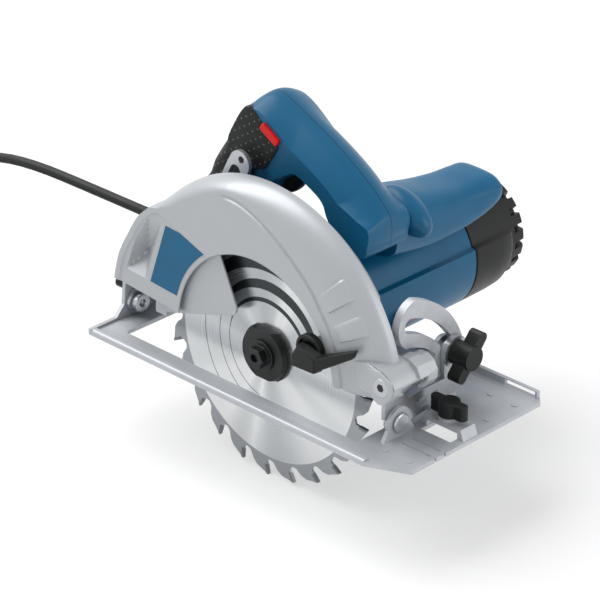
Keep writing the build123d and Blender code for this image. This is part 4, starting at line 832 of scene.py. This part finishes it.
def make_hood():
    """Hinge hood at the front of the guard: a rounded top carried past the hinge, its two cheeks reaching
    down over the bolt's ends, and open between them for the bracket's barrel; the lug on its near side, and
    a thin black disc in the bolt's socket as painted shade that darkens the hole. Behind the blade the hood
    keeps to the knuckle's circle, clear of the bevel guide's sweep."""
    barrel = circle_points(HOOD_INNER, (8, 40, 75, 110, 150))
    cheek = np.vstack([HOOD_TOP, HOOD_CHEEK])
    arch = np.vstack([HOOD_TOP, barrel])
    knuckle = np.vstack([circle_points(KNUCKLE_R, (160, 135, 110, 80, 45, 10)), barrel])
    prism("hinge_hood", [(-13.5, cheek), (-6.5, cheek), (-6.5, arch), (9, arch), (9, knuckle),
                         (18.5, knuckle)], "saw_body", "guard_alloy", edge=0.5)
    end = np.vstack([circle_points(END_INNER, (170, 140)),
                     circle_points(END_R, (112, 80, 45, 10, -20, -50, -75)),
                     circle_points(END_INNER, (-110, -150))])
    prism("hinge_end", [(18.4, end), (27.6, end)], "saw_body", "guard_alloy", edge=0.8)
    prism("hinge_lug", [(-15.2, LUG), (-6.6, LUG)], "saw_body", "guard_alloy", edge=0.9)
    # Painted shade: a thin black hex disc just inside the bolt's socket stands in for the shade in the hole
    socket = circle_points(SOCKET_R, range(0, 360, 60))
    prism("painted_shade_bolt_socket", [(-15.4, socket), (-15.1, socket)], "tilt_frame", "black_steel",
          edge=0.05, segments=1)
    prism("hinge_web", [(-14.7, WEB), (-7, WEB)], "saw_body", "guard_alloy", edge=0.6)


# Outlines in X and height of the lever's stem and of its knob's near and far faces
STEM = [(46, 19), (46, 28), (52, 32), (59, 31), (61, 22), (56, 17)]
KNOB_NEAR = [(47, 17.5), (47.3, 25.5), (51, 30.5), (56.5, 33), (59, 32), (67.8, 28.4), (67.8, 18.4)]
KNOB_FAR = [(47, 17.5), (45.5, 27), (47, 31.5), (51, 34), (57, 34), (69, 30.9), (69, 18.4)]
BOSS_CENTRE = (56.0, 29.0)
BOSS_POINTS = 48
BOSS_PROFILE = [
    # Distance from the blade, radius
    (-15.6, 2), (-15.6, 11.3), (-19.6, 11.3), (-20.2, 10.7), (-20.2, 9), (-18, 8.4), (-18, 2),
]
ARM_ENDS = np.array([
    # X, distance from the blade and height of the arm's corners at the knob and at the guard's face
    [(66.5, -26.6, 18.6), (66.5, -26.6, 28.2), (66.5, -19, 29.8), (66.5, -19, 18.6)],
    [(96, -20.5, 37.3), (98.5, -20.5, 44), (98.5, -17, 44.5), (96, -17, 37.8)],
])


def make_lever():
    """Thumb lever of the lower guard: a stem through the window, a dished round boss on it, a block with a
    sloping top in front of the boss, and an arm that tapers from the block's side to the guard's face."""
    prism("lever_stem", [(-17, STEM), (-9.5, STEM)], "lower_guard", "black_plastic", edge=0.5)
    away, radius = np.array(BOSS_PROFILE, float).T[:, :, None]
    boss = about_axis(away, radius, np.arange(BOSS_POINTS) * 360 / BOSS_POINTS, BOSS_CENTRE)
    tube_piece("lever_boss", boss, "lower_guard", "black_plastic")
    prism("lever_knob", [(-27, KNOB_NEAR), (-19.5, KNOB_FAR)], "lower_guard", "black_plastic",
          ("guard_lever",), edge=0.8)
    arm = tube_piece("lever_arm", ARM_ENDS, "lower_guard", "black_plastic", sharp=PRISM_SHARP)
    round_edges(arm, 0.7, 3, PRISM_SHARP)


BUTTON_FACE = [(40.5, 10), (49.5, 9.4), (51, 11), (51, 17.8), (49.5, 19.4), (40.5, 19.2)]


def make_lock_button():
    """Spindle lock button on the motor's front: a red block with rounded edges."""
    prism("lock_button", [(73, BUTTON_FACE), (92.5, BUTTON_FACE)], "spindle_lock", "red_plastic",
          ("spindle_lock_button",), edge=1.0)


# Cord

TURN_POINTS = 24


def coil_points():
    """Control points of the two-layer flat coil: the radius shrinks by one step a turn to the middle and
    grows again, and the height goes up one layer by a smooth step over the middle half turn."""
    turn = np.arange(1, int(COIL_TURNS * TURN_POINTS) + 1) / TURN_POINTS
    half = COIL_TURNS / 2
    radius = COIL_OUTER - COIL_STEP * (half - np.abs(turn - half))
    climb = np.clip((turn - half) * 2 + 0.5, 0, 1)
    angle = np.pi + 2 * np.pi * turn
    return np.stack([COIL_CENTRE[0] + radius * np.cos(angle), COIL_CENTRE[1] + radius * np.sin(angle),
                     COIL_FLOOR + COIL_LAYER * climb ** 2 * (3 - 2 * climb)], axis=1)


def make_cord(look):
    """Mains cord: a round tube along a smooth curve from the handle's heel to the floor, round the coil and
    on to the plug."""
    corner = (COIL_CENTRE[0] - COIL_OUTER, COIL_CENTRE[1], COIL_FLOOR)
    points = np.vstack([LEAD_POINTS, [corner], coil_points(), [PLUG_START]]) / 1000
    data = bpy.data.curves.new("mains_cord", "CURVE")
    data.dimensions = "3D"
    spline = data.splines.new("NURBS")
    spline.points.add(len(points) - 1)
    spline.points.foreach_set("co", np.hstack([points, np.ones((len(points), 1))]).ravel())
    spline.order_u = 3
    spline.use_endpoint_u = True
    data.resolution_u = 4
    data.bevel_depth = CORD_DIA / 2000
    data.bevel_resolution = 4
    data.use_fill_caps = True
    data.materials.append(look)
    piece = bpy.data.objects.new("mains_cord", data)
    bpy.context.scene.collection.objects.link(piece)
    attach(piece, "saw_body")
    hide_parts("cord_lead", "cord_coil")


# Studio, in metres

AZIMUTH = 45
ELEVATION = 27.9
CAMERA_AWAY = 1.918
CAMERA_LENS = 171
AIM_OFFSET = (0.0212, 0.0347, 0)
WORLD_LIGHT = 0.32
PAPER = 0.97
PAPER_GLOW = 0.5
FLOOR_HALF = 8
SUN_STRENGTH = 2.8
SUN_SPREAD = 56
SUN_HEADING = (1.3, 0.4, -2.0)
BOX_SPOT = (1.9, 0.8, 0.8)
BOX_AIM = (0, 0, 0.05)
BOX_SIZE = 1.2
BOX_POWER = 12


def make_camera():
    """Camera of the photograph: a long lens that looks at a point a little right of and above the blade."""
    azimuth, elevation = math.radians(AZIMUTH), math.radians(ELEVATION)
    back = Vector((math.sin(azimuth) * math.cos(elevation), -math.cos(azimuth) * math.cos(elevation),
                   math.sin(elevation)))
    level = (-back).to_track_quat("-Z", "Y")
    blade = Vector((0, BLADE_Y, SPINDLE_Z)) / 1000
    aim = blade + level @ Vector(AIM_OFFSET)
    data = bpy.data.cameras.new("photo_camera")
    data.lens = CAMERA_LENS
    data.sensor_width = 36
    data.clip_end = 50
    camera = bpy.data.objects.new("photo_camera", data)
    camera.location = blade + back * CAMERA_AWAY
    camera.rotation_euler = (aim - camera.location).to_track_quat("-Z", "Y").to_euler()
    bpy.context.scene.collection.objects.link(camera)
    bpy.context.scene.camera = camera


def shown(tree):
    """1 for rays from the camera or off gloss or glass, which see the background's white, and 0 for light."""
    path = add(tree, "ShaderNodeLightPath", {})
    off_shine = add(tree, "ShaderNodeMath", {0: path["Is Glossy Ray"], 1: path["Is Transmission Ray"]},
                    operation="MAXIMUM")
    return add(tree, "ShaderNodeMath", {0: path["Is Camera Ray"], 1: off_shine[0]}, operation="MAXIMUM")[0]


def make_floor():
    """White paper under the saw. Half of what the eye sees of it is plain white, so that the shadow on it
    stays faint."""
    corners = np.array([(-1, -1, 0), (1, -1, 0), (1, 1, 0), (-1, 1, 0)]) * FLOOR_HALF + (0, 0, FLOOR_Z / 1000)
    mesh = bpy.data.meshes.new("studio_floor")
    mesh.from_pydata(corners.tolist(), [], [(0, 1, 2, 3)])
    floor = bpy.data.objects.new("studio_floor", mesh)
    look, tree, shader = material("matt_white_paper", {"Roughness": 0.9, "Emission Color": (1, 1, 1, 1)})
    seen = shown(tree)
    tone = add(tree, "ShaderNodeMapRange", {
        "Value": seen, "To Min": PAPER, "To Max": PAPER * (1 - PAPER_GLOW)})
    glow = add(tree, "ShaderNodeMapRange", {"Value": seen, "To Min": 0.0, "To Max": PAPER_GLOW})
    tree.links.new(tone[0], shader.inputs["Base Color"])
    tree.links.new(glow[0], shader.inputs["Emission Strength"])
    mesh.materials.append(look)
    bpy.context.scene.collection.objects.link(floor)


def make_lights():
    """White surroundings that light less than they show, a wide soft light from above, and a soft box at the
    front."""
    world = bpy.data.worlds.new("studio")
    bpy.context.scene.world = world
    world.use_nodes = True
    tree = world.node_tree
    strength = add(tree, "ShaderNodeMapRange", {"Value": shown(tree), "To Min": WORLD_LIGHT, "To Max": 1.0})
    background = tree.nodes["Background"]
    background.inputs["Color"].default_value = (1, 1, 1, 1)
    tree.links.new(strength[0], background.inputs["Strength"])
    sun = bpy.data.lights.new("wide_top_light", "SUN")
    sun.energy = SUN_STRENGTH
    sun.angle = math.radians(SUN_SPREAD)
    top = bpy.data.objects.new("wide_top_light", sun)
    top.rotation_euler = Vector(SUN_HEADING).to_track_quat("-Z", "Y").to_euler()
    bpy.context.scene.collection.objects.link(top)
    box = bpy.data.lights.new("front_box", "AREA")
    box.shape = "RECTANGLE"
    box.size = BOX_SIZE
    box.size_y = BOX_SIZE
    box.energy = BOX_POWER
    front = bpy.data.objects.new("front_box", box)
    front.location = BOX_SPOT
    front.rotation_euler = (Vector(BOX_AIM) - Vector(BOX_SPOT)).to_track_quat("-Z", "Y").to_euler()
    bpy.context.scene.collection.objects.link(front)


# The whole scene

MATERIALS = build_materials()
SLOT_OF = {part["node"]: part["material_slot"] for part in frame["record"]["subparts"]}
for node_name, node in frame["nodes"].items():
    node.data.materials.clear()
    node.data.materials.append(MATERIALS[SLOT_OF[node_name]])

# CAD nodes shown with rounded edges, and the width of the rounding in millimetres
SOFT_EDGES = {
    "base_plate": 0.6, "front_bevel_quadrant": 1.3, "fence_wing_bolt": 0.9, "front_tilt_bracket": 0.5,
    "depth_arc": 0.5, "front_pivot_rivet": 0.9, "rear_pivot_bolt": 0.6, "depth_pivot_bolt": 0.4,
    "front_bevel_knob": 1.1, "rear_bevel_lever": 1.0, "outer_flange": 0.6, "blade_bolt": 0.5,
    "cord_gland": 0.8, "lock_off_button": 0.7, "gear_housing": 0.8, "depth_clamp_lever": 0.9,
    "plug_body": 1.5, "lower_guard": 0.4,
}
for node_name, width in SOFT_EDGES.items():
    soften(node_name, width)
make_handle()
make_front_handle()
make_thumb_bulge()
make_trigger()
make_motor()
make_guard()
make_hood()
make_lever()
make_lock_button()
make_cord(MATERIALS["cord_rubber"])
make_camera()
make_floor()
make_lights()
bpy.context.scene.view_settings.view_transform = "Standard"
